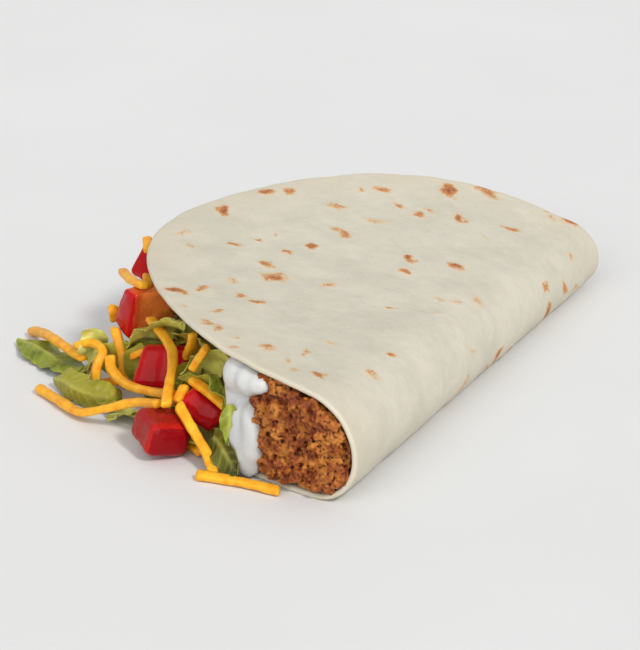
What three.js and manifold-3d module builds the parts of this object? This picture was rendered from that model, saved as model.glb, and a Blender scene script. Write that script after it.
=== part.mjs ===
// A soft taco: one flour tortilla folded over seasoned ground beef, sour cream, shredded lettuce,
// tomato dice and cheese shreds, some of which spill out of the mouth.
//
// Millimetres, +Z up. The taco lies on Z = 0. X runs along the folded edge, and the open end that
// shows the beef is at +X. The fold is at +Y, and the mouth opens towards -Y.

import * as THREE from "three";
import { mergeVertices } from "three/addons/utils/BufferGeometryUtils.js";
import { RoundedBoxGeometry } from "three/addons/geometries/RoundedBoxGeometry.js";
import Module from "manifold-3d";

const wasm = await Module();
wasm.setup();

// ---- Driving dimensions -------------------------------------------------------------------

const HALF_FOLD = 76; // half of the tortilla's diameter along the fold
const FOLD_Y = 38; // where the outside of the fold lies
const TORTILLA_THICKNESS = 1.3;
const FRONT_FOLD_HEIGHT = 22; // outside height of the fold at the +X end
const BACK_FOLD_HEIGHT = 13.2; // and at the -X end
const FOLD_HEIGHT_POWER = 1.12;
const FRONT_RISE = THREE.MathUtils.degToRad(11.7); // slope of the top half past the fold
const BACK_RISE = THREE.MathUtils.degToRad(22.7);
const FLAP_SAG = THREE.MathUtils.degToRad(-12.1); // how far that slope turns down by the flap's edge
const FOLD_LOOSENESS = 1.1; // the top half's bend is longer than the under half's
const FLAP_REACH = 86.2; // longest way from the fold to the edge of the top half
const BASE_REACH = 72.3; // and of the under half
const FLAP_EDGE_WAVE = [0, -0.019, 0.041, -0.017, 0.041]; // how the flap's edge strays from an ellipse
const FIRST_ROW_ANGLE = THREE.MathUtils.degToRad(5.5);

const GAP = 0.3; // air left between two pieces that touch
const LOOSE_GAP = 0.5; // and round the tortilla and the leaves, whose faces are coarse
const FILLING_INSET = TORTILLA_THICKNESS + 0.9; // from the tortilla's outside to a filling

const BEEF_REACH = 33; // how far from the fold the beef goes, measured along the tortilla
const CREAM_REACH = 42.5;
const END_STEP = 1.5; // how far the fillings stay back from the tortilla's edge

// ---- Small tools --------------------------------------------------------------------------

const { clamp, lerp, smoothstep } = THREE.MathUtils;

function seededRandom(seed) {
  let state = seed;
  return () => {
    state = (state + 0x6d2b79f5) | 0;
    let bits = Math.imul(state ^ (state >>> 15), 1 | state);
    bits = (bits + Math.imul(bits ^ (bits >>> 7), 61 | bits)) ^ bits;
    return ((bits ^ (bits >>> 14)) >>> 0) / 4294967296;
  };
}

// A geometry from points and triangles, turned so that its faces point out.
function facingOut(points, triangles) {
  let volume = 0;
  for (let i = 0; i < triangles.length; i += 3) {
    const [a, b, c] = [points[triangles[i]], points[triangles[i + 1]], points[triangles[i + 2]]];
    volume += a.dot(new THREE.Vector3().crossVectors(b, c));
  }
  const geometry = new THREE.BufferGeometry().setFromPoints(points);
  geometry.setIndex(volume < 0 ? triangles.toReversed() : triangles);
  return geometry;
}

// A thin closed sheet. place(u, v, side) gives a point for u and v from 0 to 1, on side 0 or 1.
function sheetGeometry(rows, columns, place) {
  const points = [];
  const triangles = [];
  const at = (side, row, column) => (side * (rows + 1) + row) * (columns + 1) + column;
  const quad = (a, b, c, d) => triangles.push(a, b, c, a, c, d);
  for (let side = 0; side < 2; side++) {
    for (let row = 0; row <= rows; row++) {
      for (let column = 0; column <= columns; column++) {
        points.push(place(row / rows, column / columns, side));
      }
    }
  }
  for (let row = 0; row < rows; row++) {
    for (let column = 0; column < columns; column++) {
      quad(at(1, row, column), at(1, row + 1, column), at(1, row + 1, column + 1), at(1, row, column + 1));
      triangles.push(at(0, row, column), at(0, row + 1, column + 1), at(0, row + 1, column));
      triangles.push(at(0, row, column), at(0, row, column + 1), at(0, row + 1, column + 1));
    }
  }
  for (let row = 0; row < rows; row++) {
    quad(at(1, row + 1, 0), at(1, row, 0), at(0, row, 0), at(0, row + 1, 0));
    quad(at(1, row, columns), at(1, row + 1, columns), at(0, row + 1, columns), at(0, row, columns));
  }
  for (let column = 0; column < columns; column++) {
    quad(at(1, 0, column), at(1, 0, column + 1), at(0, 0, column + 1), at(0, 0, column));
    quad(at(1, rows, column + 1), at(1, rows, column), at(0, rows, column), at(0, rows, column + 1));
  }
  return facingOut(points, triangles);
}

// A closed body through rings of points, each ring with as many points as the next.
function loftGeometry(rings) {
  const size = rings[0].length;
  const points = rings.flat();
  const triangles = [];
  for (let ring = 0; ring < rings.length - 1; ring++) {
    for (let i = 0; i < size; i++) {
      const [a, b] = [ring * size + i, ring * size + ((i + 1) % size)];
      triangles.push(a, b, b + size, a, b + size, a + size);
    }
  }
  for (const [first, turn] of [[0, 1], [(rings.length - 1) * size, 0]]) {
    const centre = points.length;
    const middle = new THREE.Vector3();
    for (let i = 0; i < size; i++) {
      middle.addScaledVector(points[first + i], 1 / size);
      const [a, b] = [first + i, first + ((i + 1) % size)];
      triangles.push(...(turn ? [centre, b, a] : [centre, a, b]));
    }
    points.push(middle);
  }
  return facingOut(points, triangles);
}

// Lays a geometry, made along Y from -0.5 to 0.5, along a smooth path. Its X goes sideways.
function layAlong(geometry, path, sideways, overrun = 0) {
  const curve = new THREE.CatmullRomCurve3(path.map((point) => new THREE.Vector3(...point)));
  const length = curve.getLength();
  const reference = new THREE.Vector3(...sideways);
  const position = geometry.attributes.position;
  for (let i = 0; i < position.count; i++) {
    const distance = (position.getY(i) + 0.5) * (length + 2 * overrun) - overrun;
    const u = clamp(distance / length, 0, 1);
    const tangent = curve.getTangentAt(u);
    const side = reference.clone().addScaledVector(tangent, -reference.dot(tangent)).normalize();
    const top = new THREE.Vector3().crossVectors(side, tangent);
    const point = curve.getPointAt(u).addScaledVector(tangent, distance - u * length);
    point.addScaledVector(side, position.getX(i)).addScaledVector(top, position.getZ(i));
    position.setXYZ(i, point.x, point.y, point.z);
  }
  return geometry;
}

function solidOf(geometry) {
  const bare = geometry.clone();
  bare.deleteAttribute("normal");
  bare.deleteAttribute("uv");
  const merged = mergeVertices(bare);
  const vertProperties = new Float32Array(merged.attributes.position.array);
  return new wasm.Manifold(
    new wasm.Mesh({ numProp: 3, vertProperties, triVerts: new Uint32Array(merged.index.array) }),
  );
}

function geometryOf(solid) {
  const mesh = solid.getMesh();
  const geometry = new THREE.BufferGeometry();
  geometry.setAttribute("position", new THREE.BufferAttribute(mesh.vertProperties, 3));
  geometry.setIndex(new THREE.BufferAttribute(mesh.triVerts, 1));
  geometry.computeVertexNormals();
  return geometry;
}

// ---- Tortilla -----------------------------------------------------------------------------

function foldSection(x) {
  const back = clamp((HALF_FOLD - x) / (2 * HALF_FOLD), 0, 1);
  const height = lerp(BACK_FOLD_HEIGHT, FRONT_FOLD_HEIGHT, (1 - back) ** FOLD_HEIGHT_POWER);
  return { radius: height / 2, rise: lerp(FRONT_RISE, BACK_RISE, back ** 2) };
}

const rowAngle = (x) => Math.acos(clamp(x / HALF_FOLD, -1, 1));
const baseReach = (x) => BASE_REACH * Math.sin(rowAngle(x));

function flapReach(x) {
  const angle = rowAngle(x);
  const wave = FLAP_EDGE_WAVE.reduce((sum, size, turns) => sum + size * Math.cos(turns * angle), 1);
  return FLAP_REACH * Math.sin(angle) * wave;
}

// A point of the folded tortilla at station x, a way along it from the fold: positive on the flap,
// negative on the under half. inset goes from the outside inwards.
function wrapPoint(x, way, inset) {
  const { radius, rise } = foldSection(x);
  const quarter = (Math.PI / 2) * radius;
  if (way < 0) {
    const turn = Math.min(-way, quarter) / radius;
    const out = radius * (1 - Math.cos(turn)) + Math.max(0, -way - quarter);
    const up = radius * (1 - Math.sin(turn));
    return new THREE.Vector3(x, FOLD_Y - out - inset * Math.cos(turn), up + inset * Math.sin(turn));
  }
  const bend = quarter * FOLD_LOOSENESS;
  const bendRadius = bend / (Math.PI / 2 - rise);
  const turn = Math.min(way, bend) / bendRadius;
  const flapRadius = FLAP_REACH / FLAP_SAG;
  const heading = way < bend ? Math.PI / 2 - turn : rise + (way - bend) / flapRadius;
  let out = bendRadius * (1 - Math.cos(turn));
  let up = radius + bendRadius * Math.sin(turn);
  if (way > bend) {
    out += flapRadius * (Math.sin(heading) - Math.sin(rise));
    up -= flapRadius * (Math.cos(heading) - Math.cos(rise));
  }
  return new THREE.Vector3(x, FOLD_Y - out - inset * Math.sin(heading), up - inset * Math.cos(heading));
}

function tortillaGeometry(grow) {
  const rows = 26;
  const underColumns = 8;
  const flapColumns = 11;
  return sheetGeometry(rows, underColumns + flapColumns, (u, v, side) => {
    const x = HALF_FOLD * Math.cos(lerp(FIRST_ROW_ANGLE, Math.PI - FIRST_ROW_ANGLE, u));
    const column = v * (underColumns + flapColumns) - underColumns;
    const way =
      column < 0
        ? -(baseReach(x) + grow) * (-column / underColumns) ** 1.9
        : (flapReach(x) + grow) * (column / flapColumns) ** 1.7;
    const inset = side ? -grow : TORTILLA_THICKNESS + grow;
    return wrapPoint(x, way, inset);
  });
}

// ---- Fillings that run along the fold -------------------------------------------------------

// The ways along the tortilla, under and over, that a filling may reach at station x.
function fillingWays(x, reach, step = END_STEP) {
  return [Math.min(reach, baseReach(x) - step), Math.min(reach, flapReach(x) - step)];
}

const FIRST_CRUMB_ANGLE = THREE.MathUtils.degToRad(4); // of a face, as seen from the fold's middle
const LAST_CRUMB_ANGLE = THREE.MathUtils.degToRad(26.5);
const CRUMB_STATION = 75.7; // how far along the fold the crumbles go
const CRUMB_STEP = 0.6; // and how far they stay back from the tortilla's edge
const UNDER_CREAM = { from: THREE.MathUtils.degToRad(16), above: 0.72 }; // where cream covers the front
const LOOSE_CRUMBS = [ // between the cream's lobe and the rest, each by its centre and radius
  [[67.4, 11.6, 17.8], 1.8], [[68.2, 13.2, 15], 1.7], [[68.6, 15.6, 20.4], 1.7], [[69.8, 18.4, 22], 1.6],
];
const BEEF_STATIONS = [75, 74.2, 72.5, 69.5, 64, 40, 10, -20, -50, -65, -71, -74, -75];

function beefRing(x) {
  const [under, over] = fillingWays(x, BEEF_REACH);
  const samples = 10;
  const ring = [];
  for (let i = 0; i <= samples; i++) {
    ring.push(wrapPoint(x, lerp(-under, over, i / samples), FILLING_INSET));
  }
  const middle = ring[0].clone().lerp(ring[samples], 0.5);
  middle.y -= 1;
  return [...ring, middle];
}

// One crumble of ground beef: a low lump with a rough outline.
function crumbGeometry(centre, size, random) {
  const geometry = new THREE.IcosahedronGeometry(size, 0);
  geometry.deleteAttribute("normal");
  geometry.deleteAttribute("uv");
  const lump = mergeVertices(geometry);
  const position = lump.attributes.position;
  const stretch = new THREE.Vector3(0.8 + 0.5 * random(), 0.8 + 0.5 * random(), 0.75 + 0.4 * random());
  const turn = new THREE.Euler(random() * 6, random() * 6, random() * 6);
  for (let i = 0; i < position.count; i++) {
    const point = new THREE.Vector3().fromBufferAttribute(position, i).multiply(stretch);
    point.multiplyScalar(0.82 + 0.36 * random()).applyEuler(turn).add(centre);
    position.setXYZ(i, point.x, point.y, point.z);
  }
  return lump;
}

// Crumbles in even rows over one of the beef's two open faces, at the end where X has this sign.
function beefCrumbs(sign, columns, rows, random) {
  const crumbs = [];
  for (let column = 0; column < columns; column++) {
    for (let row = 0; row < rows; row++) {
      const angle = lerp(LAST_CRUMB_ANGLE, FIRST_CRUMB_ANGLE, (column + 0.7 * random()) / columns);
      const x = sign * CRUMB_STATION * Math.cos(angle);
      const [under, over] = fillingWays(x, BEEF_REACH, CRUMB_STEP);
      const low = wrapPoint(x, -under, FILLING_INSET);
      const high = wrapPoint(x, over, FILLING_INSET);
      const share = 0.06 + (0.88 * (row + 0.3 + 0.4 * random())) / rows;
      if (sign > 0 && angle > UNDER_CREAM.from && share > UNDER_CREAM.above) {
        continue;
      }
      const centre = low.lerp(high, share);
      centre.add(new THREE.Vector3(sign * 0.5 * random(), 0.7 * random() - 0.9, 0));
      crumbs.push(crumbGeometry(centre, 1.5 + 0.8 * random(), random));
    }
  }
  return crumbs;
}

// Crumbles on the flat end of the beef, along the inside of the fold.
function endCrumbs(sign, count, random) {
  const x = sign * (BEEF_STATIONS[0] - 0.7);
  const [under, over] = fillingWays(x, BEEF_REACH);
  const crumbs = [];
  for (let i = 0; i < count; i++) {
    const way = lerp(-0.75 * under, 0.8 * over, (i + 0.2 + 0.6 * random()) / count);
    const centre = wrapPoint(x, way, FILLING_INSET + 2.1 + random());
    crumbs.push(crumbGeometry(centre, 1.3 + 0.5 * random(), random));
  }
  return crumbs;
}

function beefSolid() {
  const random = seededRandom(7);
  let solid = solidOf(loftGeometry(BEEF_STATIONS.map(beefRing)));
  const crumbs = [...beefCrumbs(1, 8, 5, random), ...beefCrumbs(-1, 6, 2, random)];
  crumbs.push(...endCrumbs(1, 5, random), ...endCrumbs(-1, 2, random));
  for (const [centre, size] of LOOSE_CRUMBS) {
    crumbs.push(crumbGeometry(new THREE.Vector3(...centre), size, random));
  }
  for (const crumb of crumbs) {
    solid = solid.add(solidOf(crumb));
  }
  return solid;
}

const CREAM_STATIONS = [59.5, 54, 45, 25, 0, -25, -45, -56, -60.5];

function creamRing(station, grow) {
  const x = station + grow * Math.sign(station);
  const ring = [];
  const near = BEEF_REACH + 2 * GAP - grow;
  const far = CREAM_REACH + grow;
  const samples = 3;
  for (let i = 0; i <= samples; i++) {
    ring.push(wrapPoint(x, -lerp(near, far, i / samples), FILLING_INSET - grow));
  }
  for (let i = samples; i >= 0; i--) {
    ring.push(wrapPoint(x, lerp(near, far, i / samples), FILLING_INSET - grow));
  }
  return ring;
}

// The soft end of the cream that runs out over the lip: a round band, fuller at its top.
function creamEndGeometry(path, halfWidth, halfDepth, grow) {
  const straight = 4.5; // of the unit capsule before it is laid along the path
  const geometry = new THREE.CapsuleGeometry(1, straight, 2, 8, 5);
  const position = geometry.attributes.position;
  for (let i = 0; i < position.count; i++) {
    const along = position.getY(i) / (straight + 2); // -0.5 at the path's start, the top
    const width = halfWidth * (1 + 0.4 * smoothstep(-along, 0, 0.4)) + grow;
    position.setXYZ(i, position.getX(i) * width, along, position.getZ(i) * (halfDepth + grow));
  }
  return layAlong(geometry, path, [-0.36, 0.93, 0], grow);
}

const CREAM_FRONT_PATH = [[58, 6.4, 25.5], [60.5, 6, 18.5], [63, 7, 13], [66, 8.1, 7.5], [69.6, 10.2, 0.6]];
const CREAM_BACK_PATH = [[-58, 5, 20], [-61, 6, 14], [-65, 8, 6], [-67.5, 10, 1]];
const CREAM_LOBES = [ // soft lobes of the two ends, each by its centre and radius
  [[63, 6.3, 21.8], 4.2], [[66, 9.8, 21.8], 3.2], [[67.4, 12.2, 22.2], 2.3], [[66.8, 10.4, 12.2], 2.7],
  [[68, 10.4, 8], 2.6], [[69.6, 11.2, 4.4], 2.3], [[-60, 6.5, 17.5], 4.2],
];

function creamSolid(grow) {
  let solid = solidOf(loftGeometry(CREAM_STATIONS.map((x) => creamRing(x, grow))))
    .add(solidOf(creamEndGeometry(CREAM_FRONT_PATH, 4.1, 3.3, grow)))
    .add(solidOf(creamEndGeometry(CREAM_BACK_PATH, 4, 3, grow)));
  for (const [centre, radius] of CREAM_LOBES) {
    const lobe = new THREE.IcosahedronGeometry(radius + grow, 1).translate(...centre);
    solid = solid.add(solidOf(lobe));
  }
  return solid;
}

// ---- Lettuce ------------------------------------------------------------------------------

const LEAF_THICKNESS = 0.7;
const LEAF_REST = 0.6; // height of a leaf's middle where it lies along the table
const LEAF_TIP = 0.14; // narrowest share of its width, at a pointed end

// A leaf or shred of lettuce along a path, as a thin wavy sheet. ends are its widths at the two ends,
// as shares of the width.
function leafGeometry(leaf, grow) {
  const { path, width, across, curl = 0.3, ruffle = 0.5, ends = [0.35, 0.15], columns = 3 } = leaf;
  const waves = 2;
  const curve = new THREE.CatmullRomCurve3(path.map((point) => new THREE.Vector3(...point)));
  const reference = new THREE.Vector3(...across);
  const rows = Math.max(4, Math.round(curve.getLength() / 2.8));
  return sheetGeometry(rows, columns, (u, v, side) => {
    const tangent = curve.getTangentAt(u);
    const sideways = reference.clone().addScaledVector(tangent, -reference.dot(tangent)).normalize();
    const up = new THREE.Vector3().crossVectors(tangent, sideways);
    const [start, end] = ends;
    const fullness = Math.max(LEAF_TIP, Math.min(1, start + u * 3.2, end + (1 - u) * 2.6));
    const half = (width / 2) * fullness;
    const w = 2 * v - 1;
    const lift = curl * half * w * w + ruffle * w * Math.sin(Math.PI * 2 * waves * u + w);
    const skin = (side ? 1 : -1) * (LEAF_THICKNESS / 2 + grow);
    const middle = curve.getPointAt(u).addScaledVector(tangent, 2 * grow * (u - 0.5));
    middle.addScaledVector(sideways, w * (half + grow)).addScaledVector(up, lift);
    middle.z = Math.max(middle.z, LEAF_REST);
    return middle.addScaledVector(up, skin);
  });
}

const LEAVES = [
  // On the table, left of the mouth
  {
    path: [[12.5, -75, 1.2], [16.5, -68.5, 2], [21.5, -61.5, 2.2], [25.5, -55.5, 2.4], [27, -51, 2.6]],
    width: 8,
    across: [0.85, -0.5, -0.1],
    ends: [0.12, 0.6],
    curl: 0.12,
  },
  {
    path: [[34.6, -54.2, 2.2], [38.2, -49.5, 3.4], [42, -45, 3.8], [43.8, -40.8, 3.8], [43.2, -37, 3.5],
      [40.5, -34.4, 2.5]],
    width: 7,
    across: [0.45, -0.25, -0.85],
    ends: [0.5, 0.5],
    curl: 0.45,
    ruffle: 0.6,
  },
  {
    path: [[26.5, -47.3, 12.6], [27, -47.6, 9.5], [27, -48.6, 5.5], [28, -49, 1.5]],
    width: 5.8,
    across: [-0.36, 0.93, 0],
    ends: [0.7, -0.45],
    curl: 0.4,
    ruffle: 1.2,
  },
  {
    path: [[50.8, -33, 1], [49.4, -31.2, 2.2], [50, -28.4, 3.6], [50.5, -25, 4]],
    width: 2.2,
    across: [-0.9, 0.3, 0.4],
  },
  // Under the flap's edge
  {
    path: [[27, -38.6, 9.4], [28.5, -33.5, 13.5], [33, -26, 18], [40, -18.5, 22.5]],
    width: 9,
    across: [0.7, 0, 0.6],
    ruffle: 0.8,
  },
  { path: [[25.5, -28, 13], [33, -21, 15], [44, -11, 19.5]], width: 8, across: [0.6, 0, 0.8], ruffle: 0.8 },
  {
    path: [[51.5, -14.2, 14.6], [50, -10.5, 16.8], [50.5, -6, 19.3], [54, 0.3, 20.5]],
    width: 7.4,
    across: [0.35, -0.1, 0.9],
    ends: [0.05, 0.35],
    curl: 0.4,
  },
  // Beside and over the cream
  {
    path: [[55, -4.3, 17], [58, -1.5, 15.6], [60.5, 1.3, 13.4]],
    width: 5.4,
    across: [0.3, -0.6, 0.8],
    ends: [0.5, 0.05],
  },
  {
    path: [[66, 4.2, 15.6], [67.5, 4.8, 11.6], [68.3, 4.5, 7.4]],
    width: 4.2,
    across: [-0.36, 0.93, 0],
    ends: [0.3, 0.1],
  },
  {
    path: [[63.5, -1, 6.6], [68, 3.6, 5.4], [72.6, 8.9, 2]],
    width: 7,
    across: [-0.1, 0.6, 0.8],
    ends: [0.6, 0.1],
  },
];

// Leaves that are part of the heap and show in front of its slope
const LOOSE_LEAVES = [
  { path: [[26, -43.5, 1], [27.5, -41.5, 5.5], [28.5, -38, 11]], width: 9, across: [-0.36, 0.93, 0] },
  { path: [[30, -51.5, 1], [26.5, -50, 2.5], [23, -48.5, 4]], width: 3.2, across: [0.9, 0.3, 0.2] },
  {
    path: [[34, -44, 1.2], [40, -38, 2], [47, -30, 2.4], [51, -24, 2.6]],
    width: 6,
    across: [0.8, -0.5, 0.3],
  },
  {
    path: [[52.4, -14.4, 14.4], [53.2, -10.5, 14.8], [54, -6.5, 15.4], [54.6, -4, 16.2]],
    width: 2.8,
    across: [0.2, 0, 1],
    ends: [0.1, 0.4],
  },
  { path: [[29, -36.5, 2], [29.5, -35.5, 7], [30.5, -33.5, 12]], width: 6, across: [-0.36, 0.93, 0] },
  { path: [[56, -20, 1.2], [58, -12, 2.4], [62, -5, 4]], width: 6, across: [0.8, -0.4, 0.3] },
];

// The heap of shredded lettuce that fills the mouth. It stands FOOT_SPILL beyond the edge of the
// tortilla's under half, and its slope rises inwards to the flap by the steps of HEAP_SLOPE.
const HEAP_STATIONS = [61, 58, 53, 47, 41, 35, 29, 23, 15, 6, -4, -15, -27, -39, -50, -58, -62];
const HEAP_SLOPE = [[2, 0.4], [3, 3.5], [5, 6], [8, 9], [11.5, 12], [16, 17]]; // way in, height
const HEAP_FULLNESS = { front: 0.8, middle: 1.3 };

function heapFoot(x) {
  const spill = x < 10 ? lerp(4, 12, smoothstep(x, -20, 10)) : lerp(12, 2.4, smoothstep(x, 40, 60));
  return wrapPoint(x, -baseReach(x), 0).y - spill;
}

function heapRing(x, random) {
  const reach = CREAM_REACH + 2 * GAP;
  const [low, high] = [wrapPoint(x, -reach, FILLING_INSET), wrapPoint(x, reach, FILLING_INSET)];
  const foot = heapFoot(x);
  const full = lerp(HEAP_FULLNESS.middle, HEAP_FULLNESS.front, smoothstep(x, 24, 36));
  const flapEdge = wrapPoint(x, flapReach(x), FILLING_INSET);
  const roof = (y) => Math.min(high.z, lerp(high.z, flapEdge.z, (high.y - y) / 30));
  const slope = HEAP_SLOPE.map(([inwards, height]) => {
    const y = Math.min(foot + inwards + 1.6 * (random() - 0.5), low.y - 1);
    return new THREE.Vector3(x, y, Math.min(height * full * (0.92 + 0.2 * random()), roof(y) - 0.8));
  });
  const top = new THREE.Vector3(x, Math.min(foot + 20, low.y - 0.5), roof(foot + 20) - 0.4);
  const back = low.clone().lerp(high, 0.5);
  const rim = wrapPoint(x, -baseReach(x), 0).y - 0.7; // the heap steps down over the tortilla's edge
  const step = [new THREE.Vector3(x, rim, low.z), new THREE.Vector3(x, rim - 0.2, 0.4)];
  return [low, ...step, ...slope, top, high, back];
}

// Short shreds that lie on the heap's slope, each turned its own way.
function heapShreds(random) {
  const shreds = [];
  const count = 18;
  for (let i = 0; i < count; i++) {
    const x = lerp(56, -58, (i + random()) / count);
    const inwards = 4 + 8 * random();
    const full = lerp(HEAP_FULLNESS.middle, HEAP_FULLNESS.front, smoothstep(x, 24, 36));
    const centre = new THREE.Vector3(x, heapFoot(x) + inwards - 0.9, (2 + inwards) * full);
    const along = new THREE.Vector3(random() - 0.5, 0.6 * (random() - 0.5), 0.7 * (random() - 0.5));
    along.setLength(5);
    const middle = centre.clone().add(new THREE.Vector3(0, -1, 1));
    const bends = [centre.clone().sub(along), middle, centre.clone().add(along)];
    const path = bends.map((point) => point.toArray());
    shreds.push(leafGeometry({ path, width: 3.5, across: [0.2, -0.6, 0.8], ruffle: 0.3, columns: 1 }, 0));
  }
  return shreds;
}

function heapSolid() {
  const random = seededRandom(11);
  let solid = solidOf(loftGeometry(HEAP_STATIONS.map((x) => heapRing(x, random))));
  const loose = LOOSE_LEAVES.map((leaf) => leafGeometry({ ...leaf, columns: 1 }, 0));
  for (const shred of [...heapShreds(random), ...loose]) {
    solid = solid.add(solidOf(shred));
  }
  return solid;
}

// ---- Tomato dice --------------------------------------------------------------------------

const DIE_ROUNDING = 1.1;
const SKIN_BULGE = 0.6;

// A die cut from a tomato. facing is where its skin side looks, and edge runs along its width.
function diceGeometry(die, grow) {
  const { centre, size, facing, edge, taper = 0.08, lean = 0, rounding = DIE_ROUNDING } = die;
  const [width, height, depth] = size.map((side) => side + 2 * grow);
  const geometry = new RoundedBoxGeometry(width, height, depth, 1, rounding);
  const out = new THREE.Vector3(...facing).normalize();
  const along = new THREE.Vector3(...edge);
  along.addScaledVector(out, -out.dot(along)).normalize();
  const basis = new THREE.Matrix4().makeBasis(along, new THREE.Vector3().crossVectors(out, along), out);
  const position = geometry.attributes.position;
  for (let i = 0; i < position.count; i++) {
    const [a, b, c] = [position.getX(i) / width, position.getY(i) / height, position.getZ(i) / depth];
    const bulge = c > 0 ? SKIN_BULGE * (1 - 4 * a * a) * (1 - 4 * b * b) : 0;
    const sideways = a * width * (1 - taper * (b + 0.6 * c)) + lean * b * height;
    const point = new THREE.Vector3(sideways, b * height * (1 + 0.5 * taper * a), c * depth + bulge);
    point.applyMatrix4(basis).add(new THREE.Vector3(...centre));
    position.setXYZ(i, point.x, point.y, point.z);
  }
  return geometry;
}

const DICE = [
  { centre: [-0.1, -44.2, 19.8], size: [8, 9, 7], facing: [0.84, -0.23, 0.51], edge: [0.35, 0.93, -0.15] },
  {
    centre: [23.4, -35.8, 18.4],
    size: [7.5, 12.2, 11],
    facing: [0.79, -0.61, -0.02],
    edge: [0.59, 0.77, -0.25],
    taper: 0.34,
    lean: 0.2,
  },
  {
    centre: [35.5, -25, 9],
    size: [13.6, 10.5, 7.5],
    facing: [0.9, 0.15, 0.4],
    edge: [-0.36, 0.93, -0.1],
    taper: 0.3,
    rounding: 1.6,
  },
  {
    centre: [52.8, -8.4, 8.2],
    size: [10, 6.4, 8.5],
    facing: [0.9, 0.33, 0.25],
    edge: [-0.08, 0.82, -0.57],
    taper: 0.04,
    lean: 0.23,
  },
  {
    centre: [62.2, -14, 5.4],
    size: [10.3, 7.6, 11],
    facing: [0.69, 0.7, -0.15],
    edge: [-0.72, 0.67, -0.2],
    rounding: 1.9,
  },
  { centre: [-18, -37, 16.5], size: [11, 9, 9], facing: [0.1, -0.95, 0.3], edge: [1, 0.1, 0.2] },
  { centre: [-40, -22, 13], size: [10, 9, 9], facing: [-0.4, -0.9, 0.2], edge: [0.9, -0.4, 0.1] },
  { centre: [-55, -5, 8], size: [9, 7, 9], facing: [-0.7, -0.7, 0.1], edge: [0.7, -0.7, 0.2] },
];

// ---- Cheese shreds ------------------------------------------------------------------------

const SHRED_HALF_WIDTH = 1.15;
const SHRED_HALF_THICKNESS = 0.9;

function shredGeometry(path, grow) {
  const sides = 5;
  const length = new THREE.CatmullRomCurve3(path.map((point) => new THREE.Vector3(...point))).getLength();
  const steps = Math.max(2, Math.round(length / 3.6));
  const geometry = new THREE.CylinderGeometry(1, 1, 1, sides, steps);
  geometry.scale(SHRED_HALF_WIDTH + grow, 1, SHRED_HALF_THICKNESS + grow);
  const [from, to] = [path[0], path[path.length - 1]];
  const [runX, runY] = [to[0] - from[0], to[1] - from[1]];
  const hangs = Math.hypot(runX, runY) < 0.4 * length;
  return layAlong(geometry, path, hangs ? [-0.36, 0.93, 0] : [-runY, runX, 0], grow);
}

const SHREDS = [
  [[5, -75, 1.2], [12, -68.5, 3.8], [19.5, -61.5, 5.6], [25.5, -54.5, 6], [28, -50, 5.6]],
  [[38.5, -56.5, 1.2], [45, -47.5, 1.5], [50.5, -40, 2], [53.5, -32, 5], [55, -24.5, 8],
    [59.6, -15.6, 10.6]],
  [[32.5, -41, 9], [35, -39.5, 7], [40.5, -34, 6.5], [47, -26, 8], [51, -19, 9.6], [54, -14.5, 11]],
  [[27.5, -42, 14], [28.5, -40, 8.5], [29, -39, 2]],
  [[28.5, -51.6, 8.6], [28.9, -47.4, 10], [31.3, -43.4, 9.3], [34, -43.8, 6], [35, -43.5, 2]],
  [[31.5, -31, 19], [35, -27, 17.6], [41.5, -21.2, 16.6], [48, -17.8, 15], [54.5, -15.6, 13.6],
    [59.5, -13.8, 12.8], [63, -12.4, 11.9]],
  [[42, -15.5, 21], [41.5, -16.2, 18], [39, -18.5, 14]],
  [[54.5, -6.3, 23.2], [54.5, -8.1, 20.6], [54.5, -10.2, 17.4]],
  [[14.5, -46, 22.7], [24.5, -38.4, 24.6], [28.5, -33.5, 25.4]],
  [[3, -45, 27], [9, -42, 26.5]],
  [[53.5, -11, 14.9], [56.3, -5.8, 13.9], [58.5, -0.3, 11.6]],
  [[60.5, -10.7, 11.3], [62, -8.6, 9.8], [63.3, -6.8, 8.4], [65, -3.8, 5.8], [67.5, -0.5, 3.3],
    [71.5, 2.4, 1.5]],
  [[73, -1, 1.2], [73, 5, 1.2], [73.6, 12, 1.2], [75, 19.5, 1.2]],
  [[57.6, -9.5, 1.5], [61.5, -5, 1.4]],
  [[58.8, -12, 11.2], [54.3, -11.8, 13.6]],
  [[23, -44.5, 17], [21.5, -45, 13.5]],
  [[31, -36, 9], [31, -32.5, 11]],
  [[32, -43.5, 2], [32, -39, 3]],
  [[21.6, -36.3, 25.1], [25.3, -34.5, 24]],
  [[-8, -42, 22], [-15, -41, 23.5], [-22, -37, 22]],
  [[-28, -31, 8], [-27, -33, 14], [-31, -30, 20]],
  [[-33, -28, 5], [-40, -25, 6.5], [-47, -19, 7]],
  [[-46, -15, 17], [-50, -9, 15.5], [-54, -5, 13]],
];

// ---- Assembly -----------------------------------------------------------------------------

const FINISHES = {
  tortilla: { color: 0xe3dcc8, roughness: 0.75 },
  beef: { color: 0x8f4a20, roughness: 0.55 },
  cream: { color: 0xf4f4f2, roughness: 0.35 },
  lettuce: { color: 0x86a63c, roughness: 0.5 },
  tomato: { color: 0xb3201a, roughness: 0.25 },
  cheese: { color: 0xf0a325, roughness: 0.5 },
};

// Each piece is cut clear of all the pieces before it, so the firm ones come first.
const placed = [];

function place(name, finish, makeSolid, clearance = GAP) {
  let solid = makeSolid(0);
  for (const earlier of placed) {
    solid = solid.subtract(earlier.keepOut);
  }
  const body = solid.decompose().reduce((best, part) => (part.volume() > best.volume() ? part : best));
  placed.push({ name, finish, body, keepOut: makeSolid(clearance) });
}

const numbered = (name, index) => `${name}_${String(index + 1).padStart(2, "0")}`;

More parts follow.
